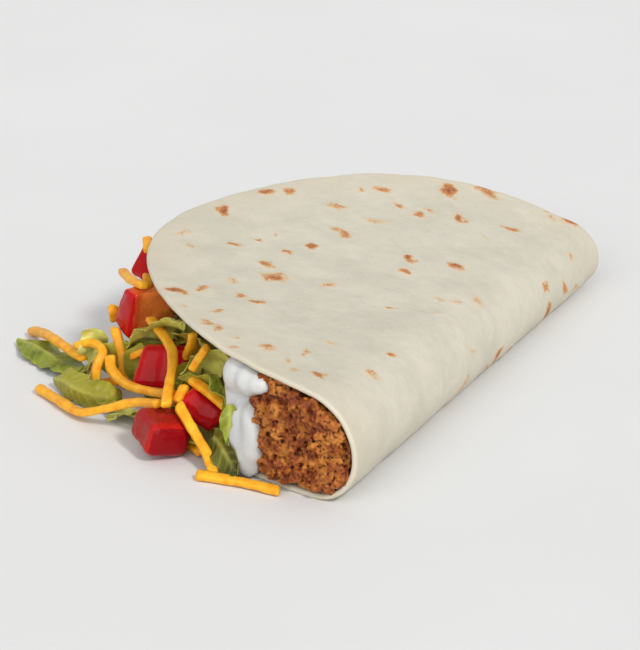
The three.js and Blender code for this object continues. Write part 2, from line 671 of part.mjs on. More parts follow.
place("tortilla", "tortilla", (grow) => solidOf(tortillaGeometry(grow)), LOOSE_GAP);
DICE.forEach((die, i) => {
  place(numbered("tomato_dice", i), "tomato", (grow) => solidOf(diceGeometry(die, grow)));
});
SHREDS.forEach((path, i) => {
  place(numbered("cheese_shred", i), "cheese", (grow) => solidOf(shredGeometry(path, grow)));
});
LEAVES.forEach((leaf, i) => {
  place(numbered("lettuce_leaf", i), "lettuce", (grow) => solidOf(leafGeometry(leaf, grow)), LOOSE_GAP);
});
place("sour_cream", "cream", creamSolid);
place("ground_beef", "beef", beefSolid);
place("shredded_lettuce", "lettuce", heapSolid);

const taco = new THREE.Group();
for (const { name, finish, body } of placed) {
  const mesh = new THREE.Mesh(geometryOf(body), new THREE.MeshStandardMaterial(FINISHES[finish]));
  mesh.name = name;
  taco.add(mesh);
}

export default taco;
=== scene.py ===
"""Looks of a soft taco: a folded flour tortilla with beef, cream, lettuce, tomato and cheese.

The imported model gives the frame: +X runs along the fold towards the end that shows the beef, the
mouth opens towards -Y and the taco lies on Z = 0. Sizes here are millimetres until a mesh is made.
"""

import itertools
import logging
import math
from dataclasses import dataclass, field
from enum import Enum
from typing import Sequence

import bmesh
import bpy
import numpy as np
from mathutils import Matrix, Vector

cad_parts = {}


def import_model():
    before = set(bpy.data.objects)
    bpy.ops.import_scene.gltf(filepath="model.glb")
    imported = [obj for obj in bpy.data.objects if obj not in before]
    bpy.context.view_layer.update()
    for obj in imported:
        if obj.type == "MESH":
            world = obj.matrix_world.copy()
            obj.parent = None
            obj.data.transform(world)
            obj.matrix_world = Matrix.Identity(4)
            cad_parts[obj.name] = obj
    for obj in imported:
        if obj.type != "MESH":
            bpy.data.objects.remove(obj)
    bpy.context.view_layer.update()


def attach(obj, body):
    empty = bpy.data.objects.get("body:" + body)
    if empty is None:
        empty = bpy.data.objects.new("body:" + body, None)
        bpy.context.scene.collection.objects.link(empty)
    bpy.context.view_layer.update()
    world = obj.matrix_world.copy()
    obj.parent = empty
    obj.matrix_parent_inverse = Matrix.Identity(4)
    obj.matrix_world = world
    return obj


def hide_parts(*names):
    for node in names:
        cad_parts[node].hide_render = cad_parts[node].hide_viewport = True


LOG = logging.getLogger("soft_taco")
MM = 0.001

Colour = tuple[float, float, float]
Triple = tuple[float, float, float]
Range = tuple[float, float]
Layers = tuple[tuple[float, float, int], ...]
Socket = bpy.types.NodeSocket
Feed = Socket | float | Colour

# Level, and square to the direction that the photograph was taken from.
ACROSS_VIEW: Triple = (-0.36, 0.93, 0)


# ---- Numbers and noise ----------------------------------------------------------------------

CORNER_KEYS = (73856093, 19349663, 83492791)
MIXING_KEY = 1274126177
SEED_STEP = 31.7


def lerp(start: np.ndarray, end: np.ndarray, share: np.ndarray) -> np.ndarray:
    """Value between start and end."""
    return start + (end - start) * share


def smoothstep(value: np.ndarray, low: float, high: float) -> np.ndarray:
    """Smooth step from 0 at low to 1 at high."""
    share = np.clip((value - low) / (high - low), 0, 1)
    return share * share * (3 - 2 * share)


def unit(vectors: np.ndarray) -> np.ndarray:
    """Vectors of length 1 that point the same way."""
    lengths = np.linalg.norm(vectors, axis=-1, keepdims=True)
    return vectors / np.maximum(lengths, 1e-9)


def lumps(points: np.ndarray, size: float, seed: int) -> np.ndarray:
    """Smooth noise over space.

    Args:
        points: places in millimetres, with the coordinates on the last axis.
        size: size of one lump in millimetres.
        seed: which noise.

    Returns:
        A value from -1 to 1 for each place.
    """
    flat = points.reshape(-1, 3) / size + SEED_STEP * seed
    base = np.floor(flat).astype(np.int64)
    part = flat - base
    fade = part**3 * (part * (part * 6 - 15) + 10)
    total = np.zeros(len(flat))
    for corner in itertools.product((0, 1), repeat=3):
        key = (base + corner) * CORNER_KEYS
        bits = key[:, 0] ^ key[:, 1] ^ key[:, 2]
        bits = ((bits ^ (bits >> 13)) * MIXING_KEY) & 0x7FFFFFFF
        value = ((bits ^ (bits >> 16)) & 0xFFFF) / 0x7FFF - 1
        total += value * np.prod(np.where(corner, fade, 1 - fade), axis=1)
    return total.reshape(points.shape[:-1])


def layered(points: np.ndarray, layers: Layers) -> np.ndarray:
    """Sum of layers of noise, each with its height, the size of its lumps and its seed."""
    return sum(height * lumps(points, size, seed) for height, size, seed in layers)


# ---- Paths ----------------------------------------------------------------------------------


class Path:
    """A smooth curve through a few points, read by the share of its length."""

    SAMPLES = 300
    LOOK_AHEAD = 0.6

    def __init__(self, points: Sequence[Triple]) -> None:
        """Samples the curve so that its length can be measured.

        Args:
            points: the points that the curve goes through, in millimetres.
        """
        knots = np.array(points, float)
        first = 2 * knots[0] - knots[1]
        last = 2 * knots[-1] - knots[-2]
        ends = np.vstack([first, knots, last])
        spans = len(knots) - 1
        places = np.linspace(0, spans, self.SAMPLES)
        self.samples = np.array([self._between(ends, place, spans) for place in places])
        steps = np.linalg.norm(np.diff(self.samples, axis=0), axis=1)
        self.distances = np.concatenate([[0], np.cumsum(steps)])
        self.length = float(self.distances[-1])

    @staticmethod
    def _between(ends: np.ndarray, place: float, spans: int) -> np.ndarray:
        """One point of a centripetal Catmull-Rom curve.

        Args:
            ends: the knots, with one more before the first and after the last.
            place: number of the span and the share of it.
            spans: how many spans there are.

        Returns:
            The point.
        """
        span = min(int(place), spans - 1)
        share = place - span
        before, start, end, after = ends[span : span + 4]
        gaps = [math.sqrt(math.dist(*pair)) for pair in ((before, start), (start, end), (end, after))]
        leave = (start - before) / gaps[0] - (end - before) / (gaps[0] + gaps[1]) + (end - start) / gaps[1]
        arrive = (end - start) / gaps[1] - (after - start) / (gaps[1] + gaps[2]) + (after - end) / gaps[2]
        leave, arrive = leave * gaps[1], arrive * gaps[1]
        square = -3 * start + 3 * end - 2 * leave - arrive
        cube = 2 * start - 2 * end + leave + arrive
        return start + leave * share + square * share**2 + cube * share**3

    def at(self, shares: np.ndarray) -> np.ndarray:
        """Points at these shares of the length."""
        way = np.clip(shares, 0, 1) * self.length
        return np.stack([np.interp(way, self.distances, self.samples[:, k]) for k in range(3)], -1)

    def heading(self, shares: np.ndarray) -> np.ndarray:
        """Directions along the curve at these shares of the length."""
        step = self.LOOK_AHEAD / self.length
        return unit(self.at(shares + step) - self.at(shares - step))

    def frame(self, shares: np.ndarray, sideways: Triple) -> tuple[np.ndarray, np.ndarray, np.ndarray]:
        """Directions to build on along the curve.

        Args:
            shares: where, as shares of the length.
            sideways: roughly where the side of the path looks.

        Returns:
            The points, the side directions and the headings.
        """
        heading = self.heading(shares)
        side = np.array(sideways, float) - heading * (heading @ np.array(sideways, float))[:, None]
        return self.at(shares), unit(side), heading


# ---- Meshes ---------------------------------------------------------------------------------


@dataclass
class Shape:
    """Points in millimetres, the faces between them and the values kept for each point."""

    points: np.ndarray
    faces: list[tuple[int, ...]]
    values: dict[str, np.ndarray] = field(default_factory=dict)

    def facing_out(self) -> "Shape":
        """Turns the faces over where they look inwards.

        Returns:
            The same shape.
        """
        volume = 0.0
        for count in (3, 4):
            group = np.array([face for face in self.faces if len(face) == count], int).reshape(-1, count)
            for k in range(1, count - 1):
                a, b, c = (self.points[group[:, i]] for i in (0, k, k + 1))
                volume += float(np.einsum("ij,ij->", a, np.cross(b, c)))
        if volume < 0:
            self.faces = [face[::-1] for face in self.faces]
        return self

    @staticmethod
    def joined(shapes: Sequence["Shape"]) -> "Shape":
        """Puts shapes with the same values in one.

        Args:
            shapes: the shapes.

        Returns:
            One shape.
        """
        starts = np.cumsum([0] + [len(shape.points) for shape in shapes])
        faces = [
            tuple(int(start) + i for i in face)
            for start, shape in zip(starts, shapes)
            for face in shape.faces
        ]
        values = {
            name: np.concatenate([shape.values[name] for shape in shapes]) for name in shapes[0].values
        }
        return Shape(np.vstack([shape.points for shape in shapes]), faces, values)

    def mesh(self, name: str) -> bpy.types.Mesh:
        """Makes the mesh, in metres.

        Args:
            name: name of the mesh.

        Returns:
            The new mesh.
        """
        mesh = bpy.data.meshes.new(name)
        mesh.from_pydata((self.points * MM).tolist(), [], self.faces)
        for label, value in self.values.items():
            layer = mesh.attributes.new(label, "FLOAT", "POINT")
            layer.data.foreach_set("value", value.astype(np.float32))
        mesh.shade_smooth()
        mesh.validate()
        return mesh

    def piece(self, name: str, *materials: bpy.types.Material) -> bpy.types.Object:
        """Makes the mesh object.

        Args:
            name: name of the piece.
            materials: its materials.

        Returns:
            The new object.
        """
        mesh = self.mesh(name)
        for material in materials:
            mesh.materials.append(material)
        thing = bpy.data.objects.new(name, mesh)
        bpy.context.scene.collection.objects.link(thing)
        return thing


def grid_faces(rows: int, columns: int, start: int = 0, closed: bool = False) -> list[tuple[int, ...]]:
    """Quads over a grid of points.

    Args:
        rows: rows of points.
        columns: points in a row.
        start: number of the first point.
        closed: whether the last column joins the first.

    Returns:
        The faces.
    """
    faces = []
    for row in range(rows - 1):
        for column in range(columns if closed else columns - 1):
            a = start + row * columns + column
            b = start + row * columns + (column + 1) % columns
            faces.append((a, b, b + columns, a + columns))
    return faces


def loft(rings: np.ndarray, values: dict[str, np.ndarray]) -> Shape:
    """A closed body through rings of points.

    Args:
        rings: the points, by ring and by place in the ring.
        values: values for the same places.

    Returns:
        The body, with a point in the middle of each end.
    """
    count, size = rings.shape[:2]
    points = np.vstack([rings.reshape(-1, 3), rings[0].mean(0), rings[-1].mean(0)])
    faces = grid_faces(count, size, closed=True)
    last = (count - 1) * size
    for i in range(size):
        after = (i + 1) % size
        faces.append((count * size, after, i))
        faces.append((count * size + 1, last + i, last + after))
    kept = {}
    for name, value in values.items():
        flat = value.reshape(count * size, *value.shape[2:])
        kept[name] = np.concatenate([flat, value[0].mean(0)[None], value[-1].mean(0)[None]])
    return Shape(points, faces, kept).facing_out()


def sheet(top: np.ndarray, bottom: np.ndarray, values: dict[str, np.ndarray]) -> Shape:
    """A thin closed sheet between two faces.

    Args:
        top: points of one face, by row and column.
        bottom: points of the other.
        values: values for the same rows and columns.

    Returns:
        The sheet.
    """
    rows, columns = top.shape[:2]
    half = rows * columns
    faces = grid_faces(rows, columns)
    faces += [face[::-1] for face in grid_faces(rows, columns, half)]
    border = list(range(columns))
    border += [r * columns + columns - 1 for r in range(1, rows)]
    border += [(rows - 1) * columns + c for c in range(columns - 2, -1, -1)]
    border += [r * columns for r in range(rows - 2, 0, -1)]
    for a, b in zip(border, border[1:] + border[:1]):
        faces.append((b, a, a + half, b + half))
    kept = {}
    for name, value in values.items():
        flat = value.reshape(half, *value.shape[2:])
        kept[name] = np.concatenate([flat, flat])
    return Shape(np.vstack([top.reshape(-1, 3), bottom.reshape(-1, 3)]), faces, kept).facing_out()


def settle(thing: bpy.types.Object, slot: str, *nodes: str) -> None:
    """Hangs a piece on the root body and hides the solids that it stands for.

    Args:
        thing: the piece.
        slot: not used.
        nodes: the solids that it stands for.
    """
    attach(thing, "root")
    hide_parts(*nodes)
    LOG.info("%s: %d faces", thing.name, len(thing.data.polygons))


# ---- Finishes -------------------------------------------------------------------------------


class Nodes:
    """Builds the nodes of one material, sizes in millimetres."""

    def __init__(self, name: str) -> None:
        """Starts a material with an empty tree.

        Args:
            name: name of the material.
        """
        self.material = bpy.data.materials.new(name)
        self.material.use_nodes = True
        self.tree = self.material.node_tree
        self.tree.nodes.clear()
        self.place = self.add("ShaderNodeTexCoord").outputs["Object"]

    def add(self, kind: str, **settings: object) -> bpy.types.Node:
        """Adds a node.

        Args:
            kind: type name of the node.
            settings: its properties.

        Returns:
            The node.
        """
        node = self.tree.nodes.new(kind)
        for name, value in settings.items():
            setattr(node, name, value)
        return node

    def feed(self, socket: Socket, value: Feed) -> None:
        """Links a socket to another, or sets its value.

        Args:
            socket: the input.
            value: an output socket, a number or a colour.
        """
        if isinstance(value, Socket):
            self.tree.links.new(value, socket)
        elif isinstance(value, tuple) and len(socket.default_value) == 4:
            socket.default_value = (*value, 1.0)
        else:
            socket.default_value = value

    def noise(self, size: float, detail: float = 3, rough: float = 0.5, bend: float = 0) -> Socket:
        """Noise whose lumps have this size, from 0 to 1.

        Args:
            size: size of a lump.
            detail: how many finer layers.
            rough: how strong they are.
            bend: how far it is distorted.

        Returns:
            The output socket.
        """
        node = self.add("ShaderNodeTexNoise")
        self.feed(node.inputs["Vector"], self.place)
        for name, value in (("Scale", 1 / (size * MM)), ("Detail", detail), ("Roughness", rough)):
            node.inputs[name].default_value = value
        node.inputs["Distortion"].default_value = bend
        return node.outputs["Fac"]

    def value(self, name: str) -> Socket:
        """A number kept in the mesh."""
        return self.add("ShaderNodeAttribute", attribute_name=name).outputs["Fac"]

    def math(self, operation: str, *values: Feed, clamp: bool = False) -> Socket:
        """Arithmetic on numbers.

        Args:
            operation: name of the operation.
            values: its inputs, sockets or numbers.
            clamp: whether the result is kept from 0 to 1.

        Returns:
            The output socket.
        """
        node = self.add("ShaderNodeMath", operation=operation, use_clamp=clamp)
        for socket, value in zip(node.inputs, values):
            self.feed(socket, value)
        return node.outputs[0]

    def weighted(self, first: Socket, first_share: float, second: Socket, second_share: float) -> Socket:
        """Sum of two values, each times its share.

        Args:
            first: one value.
            first_share: how much it counts.
            second: the other value.
            second_share: how much that one counts.

        Returns:
            The output socket.
        """
        parts = (self.math("MULTIPLY", first, first_share), self.math("MULTIPLY", second, second_share))
        return self.math("ADD", *parts)

    def ramp(self, value: Socket, *stops: tuple[float, Colour]) -> Socket:
        """Colours along a value.

        Args:
            value: a socket from 0 to 1.
            stops: places and their colours.

        Returns:
            The output socket.
        """
        node = self.add("ShaderNodeValToRGB")
        while len(node.color_ramp.elements) < len(stops):
            node.color_ramp.elements.new(0.5)
        for element, (place, colour) in zip(node.color_ramp.elements, stops):
            element.position = place
            element.color = (*colour, 1)
        self.feed(node.inputs[0], value)
        return node.outputs[0]

    def mix(self, share: Feed, first: Feed, second: Feed) -> Socket:
        """Mixes two colours.

        Args:
            share: how much of the second.
            first: a colour or socket.
            second: a colour or socket.

        Returns:
            The output socket.
        """
        node = self.add("ShaderNodeMix", data_type="RGBA")
        self.feed(node.inputs[0], share)
        self.feed(node.inputs[6], first)
        self.feed(node.inputs[7], second)
        return node.outputs[2]

    def between(self, value: Socket, low: float, high: float) -> Socket:
        """A value from 0 to 1 turned into one from low to high."""
        return self.math("MULTIPLY_ADD", value, high - low, low)

    def bump(self, height: Socket, depth: float, under: Socket | None = None) -> Socket:
        """A normal from a height of 0 to 1.

        Args:
            height: the height socket.
            depth: what a height of 1 is, in millimetres.
            under: another bump's normal below this one.

        Returns:
            The output socket.
        """
        node = self.add("ShaderNodeBump")
        node.inputs["Distance"].default_value = depth * MM
        self.feed(node.inputs["Height"], height)
        if under is not None:
            self.feed(node.inputs["Normal"], under)
        return node.outputs[0]

    def finish(self, **inputs: Feed) -> bpy.types.Material:
        """Adds the surface shader.

        Args:
            inputs: its sockets, with underscores for spaces.

        Returns:
            The material.
        """
        shader = self.add("ShaderNodeBsdfPrincipled")
        for name, value in inputs.items():
            self.feed(shader.inputs[name.replace("_", " ")], value)
        output = self.add("ShaderNodeOutputMaterial")
        self.feed(output.inputs["Surface"], shader.outputs[0])
        return self.material


class Finish:
    """A finish whose material is made at its first use, under a label that no solid's material has."""

    label = "finish"

    def dressed(self, nodes: Nodes) -> bpy.types.Material:
        """Fills in the material's nodes; each finish has its own."""
        raise NotImplementedError

    def material(self) -> bpy.types.Material:
        """The material, the same one at every call."""
        return bpy.data.materials.get(self.label) or self.dressed(Nodes(self.label))


@dataclass(frozen=True)
class DoughFinish(Finish):
    """Cooked flour dough: pale, floury, with toasted spots."""

    label = "flour_dough"
    pale: Colour = (0.605, 0.563, 0.458)
    dull: Colour = (0.54, 0.505, 0.407)
    warm: Colour = (0.60, 0.53, 0.39)
    halo: Colour = (0.62, 0.49, 0.30)
    toasted: Colour = (0.54, 0.24, 0.085)
    scorched: Colour = (0.27, 0.07, 0.028)
    cloud_sizes: Range = (14, 3)
    freckle_size: float = 0.9
    grain_sizes: Range = (1.5, 0.35)
    grain_depth: float = 0.22
    roughness: Range = (0.62, 0.85)

    def dressed(self, nodes: Nodes) -> bpy.types.Material:
        """Dresses the dough.

        Args:
            nodes: the nodes of its empty material.

        Returns:
            The material.
        """
        wide, narrow = self.cloud_sizes
        cloud = nodes.weighted(nodes.noise(wide, 3), 0.6, nodes.noise(narrow, 4, 0.6), 0.4)
        base = nodes.ramp(cloud, (0.38, self.dull), (0.6, self.pale))
        base = nodes.mix(nodes.value("rim"), base, self.warm)
        speckles = nodes.noise(self.freckle_size, 4, 0.75, 1.5)
        freckles = nodes.math("MULTIPLY_ADD", speckles, 1.5, -0.85)
        toast = nodes.math("ADD", nodes.value("toast"), freckles, clamp=True)
        burnt = nodes.ramp(toast, (0.3, self.halo), (0.55, self.toasted), (0.9, self.scorched))
        share = nodes.ramp(toast, (0.04, (0, 0, 0)), (0.42, (1, 1, 1)))
        colour = nodes.mix(share, base, burnt)
        coarse, fine = self.grain_sizes
        grain = nodes.weighted(nodes.noise(coarse, 4, 0.6), 0.7, nodes.noise(fine, 3, 0.6), 0.3)
        return nodes.finish(
            Base_Color=colour,
            Roughness=nodes.between(nodes.noise(4, 3), *self.roughness),
            Specular_IOR_Level=0.35,
            Subsurface_Weight=0.12,
            Subsurface_Radius=(1.0, 0.7, 0.45),
            Subsurface_Scale=1.2 * MM,
            Normal=nodes.bump(grain, self.grain_depth),
        )


@dataclass(frozen=True)
class TomatoFinish(Finish):
    """Fresh tomato: deep red glossy skin on wet orange-red flesh."""

    label = "fresh_tomato"
    skin: Colour = (0.42, 0.004, 0.007)
    skin_light: Colour = (0.50, 0.008, 0.008)
    under_skin: Colour = (0.50, 0.012, 0.008)
    # Deep red skin that the most darkened dice turn to: painted shade.
    skin_painted_shade: Colour = (0.25, 0.003, 0.006)
    flesh: Colour = (0.95, 0.25, 0.05)
    # Deep red flesh: a real tone in the mottle, and also what the per-die darkening mixes in as painted
    # shade.
    flesh_deep: Colour = (0.33, 0.013, 0.009)
    mottle_size: float = 4.5
    skin_patch: float = 5
    bead_size: float = 0.45
    bead_depth: float = 0.14
    wet_bead_depth: float = 0.3
    dent_size: float = 1.8
    dent_depth: float = 0.12
    roughness: Range = (0.1, 0.26)

    def dressed(self, nodes: Nodes) -> bpy.types.Material:
        """Dresses the tomato.

        Args:
            nodes: the nodes of its empty material.

        Returns:
            The material.
        """
        mottle = nodes.noise(self.mottle_size, 2)
        flesh = nodes.ramp(mottle, (0.2, self.flesh_deep), (0.42, self.flesh))
        # Per-die darkening towards deep red: painted shade, and painted light where a die gets none.
        flesh = nodes.mix(nodes.value("deep_red_and_painted_shade"), flesh, self.flesh_deep)
        patches = nodes.noise(self.skin_patch, 2)
        skin = nodes.ramp(patches, (0.35, self.skin), (0.75, self.skin_light))
        # Past 0.4 the darkening also turns the skin deep red: painted shade.
        deep = nodes.math("MULTIPLY_ADD", nodes.value("deep_red_and_painted_shade"), 2.0, -0.8, clamp=True)
        skin = nodes.mix(deep, skin, self.skin_painted_shade)
        cut = nodes.mix(nodes.value("near_skin"), flesh, self.under_skin)
        colour = nodes.mix(nodes.value("skin"), cut, skin)
        cut_face = nodes.math("SUBTRACT", 1.0, nodes.value("skin"), clamp=True)
        beads = nodes.math("MULTIPLY", nodes.noise(self.bead_size, 2), cut_face)
        dents = nodes.bump(nodes.noise(self.dent_size, 3), self.dent_depth)
        return nodes.finish(
            Base_Color=colour,
            Roughness=nodes.between(nodes.noise(1.1, 3), *self.roughness),
            Specular_IOR_Level=0.08,
            Coat_Weight=0.12,
            Coat_Roughness=0.06,
            Coat_Normal=nodes.bump(beads, self.wet_bead_depth),
            Subsurface_Weight=0.3,
            Subsurface_Radius=(1.0, 0.12, 0.06),
            Subsurface_Scale=2.0 * MM,
            Normal=nodes.bump(beads, self.bead_depth, dents),
        )


@dataclass(frozen=True)
class CheeseFinish(Finish):
    """Shredded cheddar: orange-yellow, waxy, paler where it is cut."""

    label = "cheddar"
    deep: Colour = (0.82, 0.315, 0.008)
    light: Colour = (0.90, 0.46, 0.022)
    patch_size: float = 2.4
    grain_sizes: Range = (0.9, 0.25)
    grain_depth: float = 0.12
    roughness: Range = (0.3, 0.55)

    def dressed(self, nodes: Nodes) -> bpy.types.Material:
        """Dresses the cheese.

        Args:
            nodes: the nodes of its empty material.

        Returns:
            The material.
        """
        patches = nodes.noise(self.patch_size, 4, 0.55)
        coarse, fine = self.grain_sizes
        grain = nodes.weighted(nodes.noise(coarse, 3), 0.6, nodes.noise(fine, 2), 0.4)
        return nodes.finish(
            Base_Color=nodes.ramp(patches, (0.36, self.deep), (0.64, self.light)),
            Roughness=nodes.between(nodes.noise(1.2, 3), *self.roughness),
            Specular_IOR_Level=0.3,
            Subsurface_Weight=0.3,
            Subsurface_Radius=(1.0, 0.45, 0.1),
            Subsurface_Scale=1.4 * MM,
            Normal=nodes.bump(grain, self.grain_depth),
        )


class Green(Enum):
    """Greens of lettuce, each with its shaded and its lit colour."""

    BRIGHT = ((0.09, 0.115, 0.010), (0.23, 0.27, 0.030))
    YELLOW = ((0.15, 0.135, 0.010), (0.32, 0.29, 0.030))
    PALE = ((0.36, 0.37, 0.06), (0.62, 0.60, 0.18))
    OLIVE = ((0.19, 0.18, 0.02), (0.66, 0.63, 0.14))
    TAN = ((0.11, 0.062, 0.010), (0.44, 0.30, 0.05))
    DARK = ((0.028, 0.030, 0.005), (0.11, 0.108, 0.016))


@dataclass(frozen=True)
class LettuceFinish(Finish):
    """Fresh lettuce in one of its greens, with pale rib, veins and edges."""

    green: Green
    rib: Colour = (0.44, 0.43, 0.085)
    patch_size: float = 3.5
    grain_sizes: Range = (0.9, 2.5)
    grain_depth: float = 0.25
    roughness: Range = (0.2, 0.45)

    @property
    def label(self) -> str:
        """Name of the material, one for each green."""
        return f"lettuce_{self.green.name.lower()}"

    def dressed(self, nodes: Nodes) -> bpy.types.Material:
        """Dresses the leaf.

        Args:
            nodes: the nodes of its empty material.

        Returns:
            The material.
        """
        shade, light = self.green.value
        patches = nodes.weighted(nodes.noise(self.patch_size, 3), 0.7, nodes.value("tone"), 0.5)
        blade = nodes.ramp(patches, (0.28, shade), (0.72, light))
        colour = nodes.mix(nodes.value("rib"), blade, self.rib)
        fine, coarse = self.grain_sizes
        grain = nodes.weighted(nodes.noise(fine, 3), 0.5, nodes.noise(coarse, 2), 0.5)
        return nodes.finish(
            Base_Color=colour,
            Roughness=nodes.between(nodes.noise(1.6, 3), *self.roughness),
            Specular_IOR_Level=0.14,
            Subsurface_Weight=0.3,
            Subsurface_Radius=(0.8, 1.0, 0.12),
            Subsurface_Scale=0.8 * MM,
            Normal=nodes.bump(grain, self.grain_depth),
        )


@dataclass(frozen=True)
class CreamFinish(Finish):
    """Sour cream: smooth, soft and white."""

    label = "smooth_cream"
    white: Colour = (0.60, 0.60, 0.585)
    shaded: Colour = (0.485, 0.485, 0.47)
    ripple_size: float = 1.6
    ripple_depth: float = 0.1
    roughness: Range = (0.25, 0.42)

    def dressed(self, nodes: Nodes) -> bpy.types.Material:
        """Dresses the cream.

        Args:
            nodes: the nodes of its empty material.

        Returns:
            The material.
        """
        return nodes.finish(
            Base_Color=nodes.mix(nodes.value("low"), self.white, self.shaded),
            Roughness=nodes.between(nodes.noise(2.5, 2), *self.roughness),
            Specular_IOR_Level=0.4,
            Subsurface_Weight=0.6,
            Subsurface_Radius=(1.0, 0.9, 0.75),
            Subsurface_Scale=2.4 * MM,
            Normal=nodes.bump(nodes.noise(self.ripple_size, 3), self.ripple_depth),
        )


@dataclass(frozen=True)
class BeefFinish(Finish):
    """Seasoned ground beef: orange to brown crumbs, with shade painted near black into the hollows, moist.
    """

    label = "moist_beef"
    hollow_shade: Colour = (0.040, 0.003, 0.003)
    brown: Colour = (0.115, 0.018, 0.006)
    orange: Colour = (0.315, 0.080, 0.013)
    light: Colour = (0.54, 0.20, 0.035)
    crumb_patch: float = 0.9
    grain_sizes: Range = (0.7, 0.25)
    grain_depth: float = 0.5
    roughness: Range = (0.1, 0.55)

    def dressed(self, nodes: Nodes) -> bpy.types.Material:
        """Dresses the beef.

        Args:
            nodes: the nodes of its empty material.

        Returns:
            The material.
        """
        patches = nodes.noise(self.crumb_patch, 4, 0.7)
        mixed = nodes.weighted(nodes.value("shade"), 0.45, patches, 0.75)
        meat = nodes.ramp(mixed, (0.34, self.brown), (0.58, self.orange), (0.82, self.light))
        # Painted shade: the pit value darkens the meat towards the near black hollow colour.
        colour = nodes.mix(nodes.value("pit_shade"), meat, self.hollow_shade)
        coarse, fine = self.grain_sizes
        grain = nodes.weighted(nodes.noise(coarse, 4, 0.6), 0.6, nodes.noise(fine, 3, 0.6), 0.4)
        return nodes.finish(
            Base_Color=colour,
            Roughness=nodes.between(nodes.noise(0.5, 3), *self.roughness),
            Specular_IOR_Level=0.22,
            Subsurface_Weight=0.15,
            Subsurface_Radius=(1.0, 0.3, 0.12),
            Subsurface_Scale=0.8 * MM,
            Normal=nodes.bump(grain, self.grain_depth),
        )


# ---- Tortilla -------------------------------------------------------------------------------


@dataclass(frozen=True)
class Wrap:
    """The folded tortilla's form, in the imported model's own dimensions."""

    half_fold: float = 76.0
    fold_y: float = 38.0
    thickness: float = 1.3
    fold_heights: Range = (13.2, 22.0)
    height_power: float = 1.12
    rises: Range = (math.radians(11.7), math.radians(22.7))
    sag: float = math.radians(-12.1)
    looseness: float = 1.1
    flap_length: float = 86.2
    base_length: float = 72.3
    edge_wave: tuple[float, ...] = (0, -0.019, 0.041, -0.017, 0.041)

    def row_angle(self, x: np.ndarray) -> np.ndarray:
        """Angle of the tortilla's edge at station x, seen from the middle of the fold."""
        return np.arccos(np.clip(np.asarray(x, float) / self.half_fold, -1, 1))

    def base_reach(self, angle: np.ndarray) -> np.ndarray:
        """Way from the fold to the under half's edge at this row angle."""
        return self.base_length * np.sin(angle)

    def flap_reach(self, angle: np.ndarray) -> np.ndarray:
        """Way from the fold to the flap's edge at this row angle."""
        wave = 1 + sum(size * np.cos(turns * angle) for turns, size in enumerate(self.edge_wave))
        return self.flap_length * np.sin(angle) * wave

    def point(self, x: np.ndarray, way: np.ndarray, inset: np.ndarray) -> np.ndarray:
        """A place in the folded tortilla.

        Args:
            x: station along the fold.
            way: way from the fold, positive on the flap and negative on the under half.
            inset: depth from the outside inwards.

        Returns:
            The points.
        """
        x, way, inset = np.broadcast_arrays(np.asarray(x, float), way, inset)
        back = np.clip((self.half_fold - x) / (2 * self.half_fold), 0, 1)
        radius = lerp(*self.fold_heights, (1 - back) ** self.height_power) / 2
        rise = lerp(*self.rises, back**2)
        quarter = math.pi / 2 * radius
        turn = np.minimum(np.abs(way), quarter) / radius
        low_out = radius * (1 - np.cos(turn)) + np.maximum(0, -way - quarter) + inset * np.cos(turn)
        low_up = radius * (1 - np.sin(turn)) + inset * np.sin(turn)
        bend = quarter * self.looseness
        bend_radius = bend / (math.pi / 2 - rise)
        turn = np.minimum(way, bend) / bend_radius
        flap_radius = self.flap_length / self.sag
        past = np.maximum(way - bend, 0)
        heading = np.where(way < bend, math.pi / 2 - turn, rise + past / flap_radius)
        out = bend_radius * (1 - np.cos(turn)) + np.where(
            past > 0, flap_radius * (np.sin(heading) - np.sin(rise)), 0)
        up = radius + bend_radius * np.sin(turn) - np.where(
            past > 0, flap_radius * (np.cos(heading) - np.cos(rise)), 0)
        high_out = out + inset * np.sin(heading)
        high_up = up - inset * np.cos(heading)
        under = way < 0
        y = self.fold_y - np.where(under, low_out, high_out)
        return np.stack([x, y, np.where(under, low_up, high_up)], -1)

    def ways(self, x: np.ndarray, reach: float, margin: float) -> tuple[np.ndarray, np.ndarray]:
        """Ways that a filling may reach under and over at station x.

        Args:
            x: station along the fold.
            reach: how far the filling goes where the tortilla is wide enough.
            margin: how far it stays back from the edge.

        Returns:
            The ways under and over.
        """
        angle = self.row_angle(x)
        under = np.minimum(reach, self.base_reach(angle) - margin)
        return under, np.minimum(reach, self.flap_reach(angle) - margin)


@dataclass(frozen=True)
class ToastedSpot:
    """A toasted spot: its station and its way from the fold, its radius and how dark it is."""

    x: float
    way: float
    radius: float = 1.5
    dark: float = 0.8


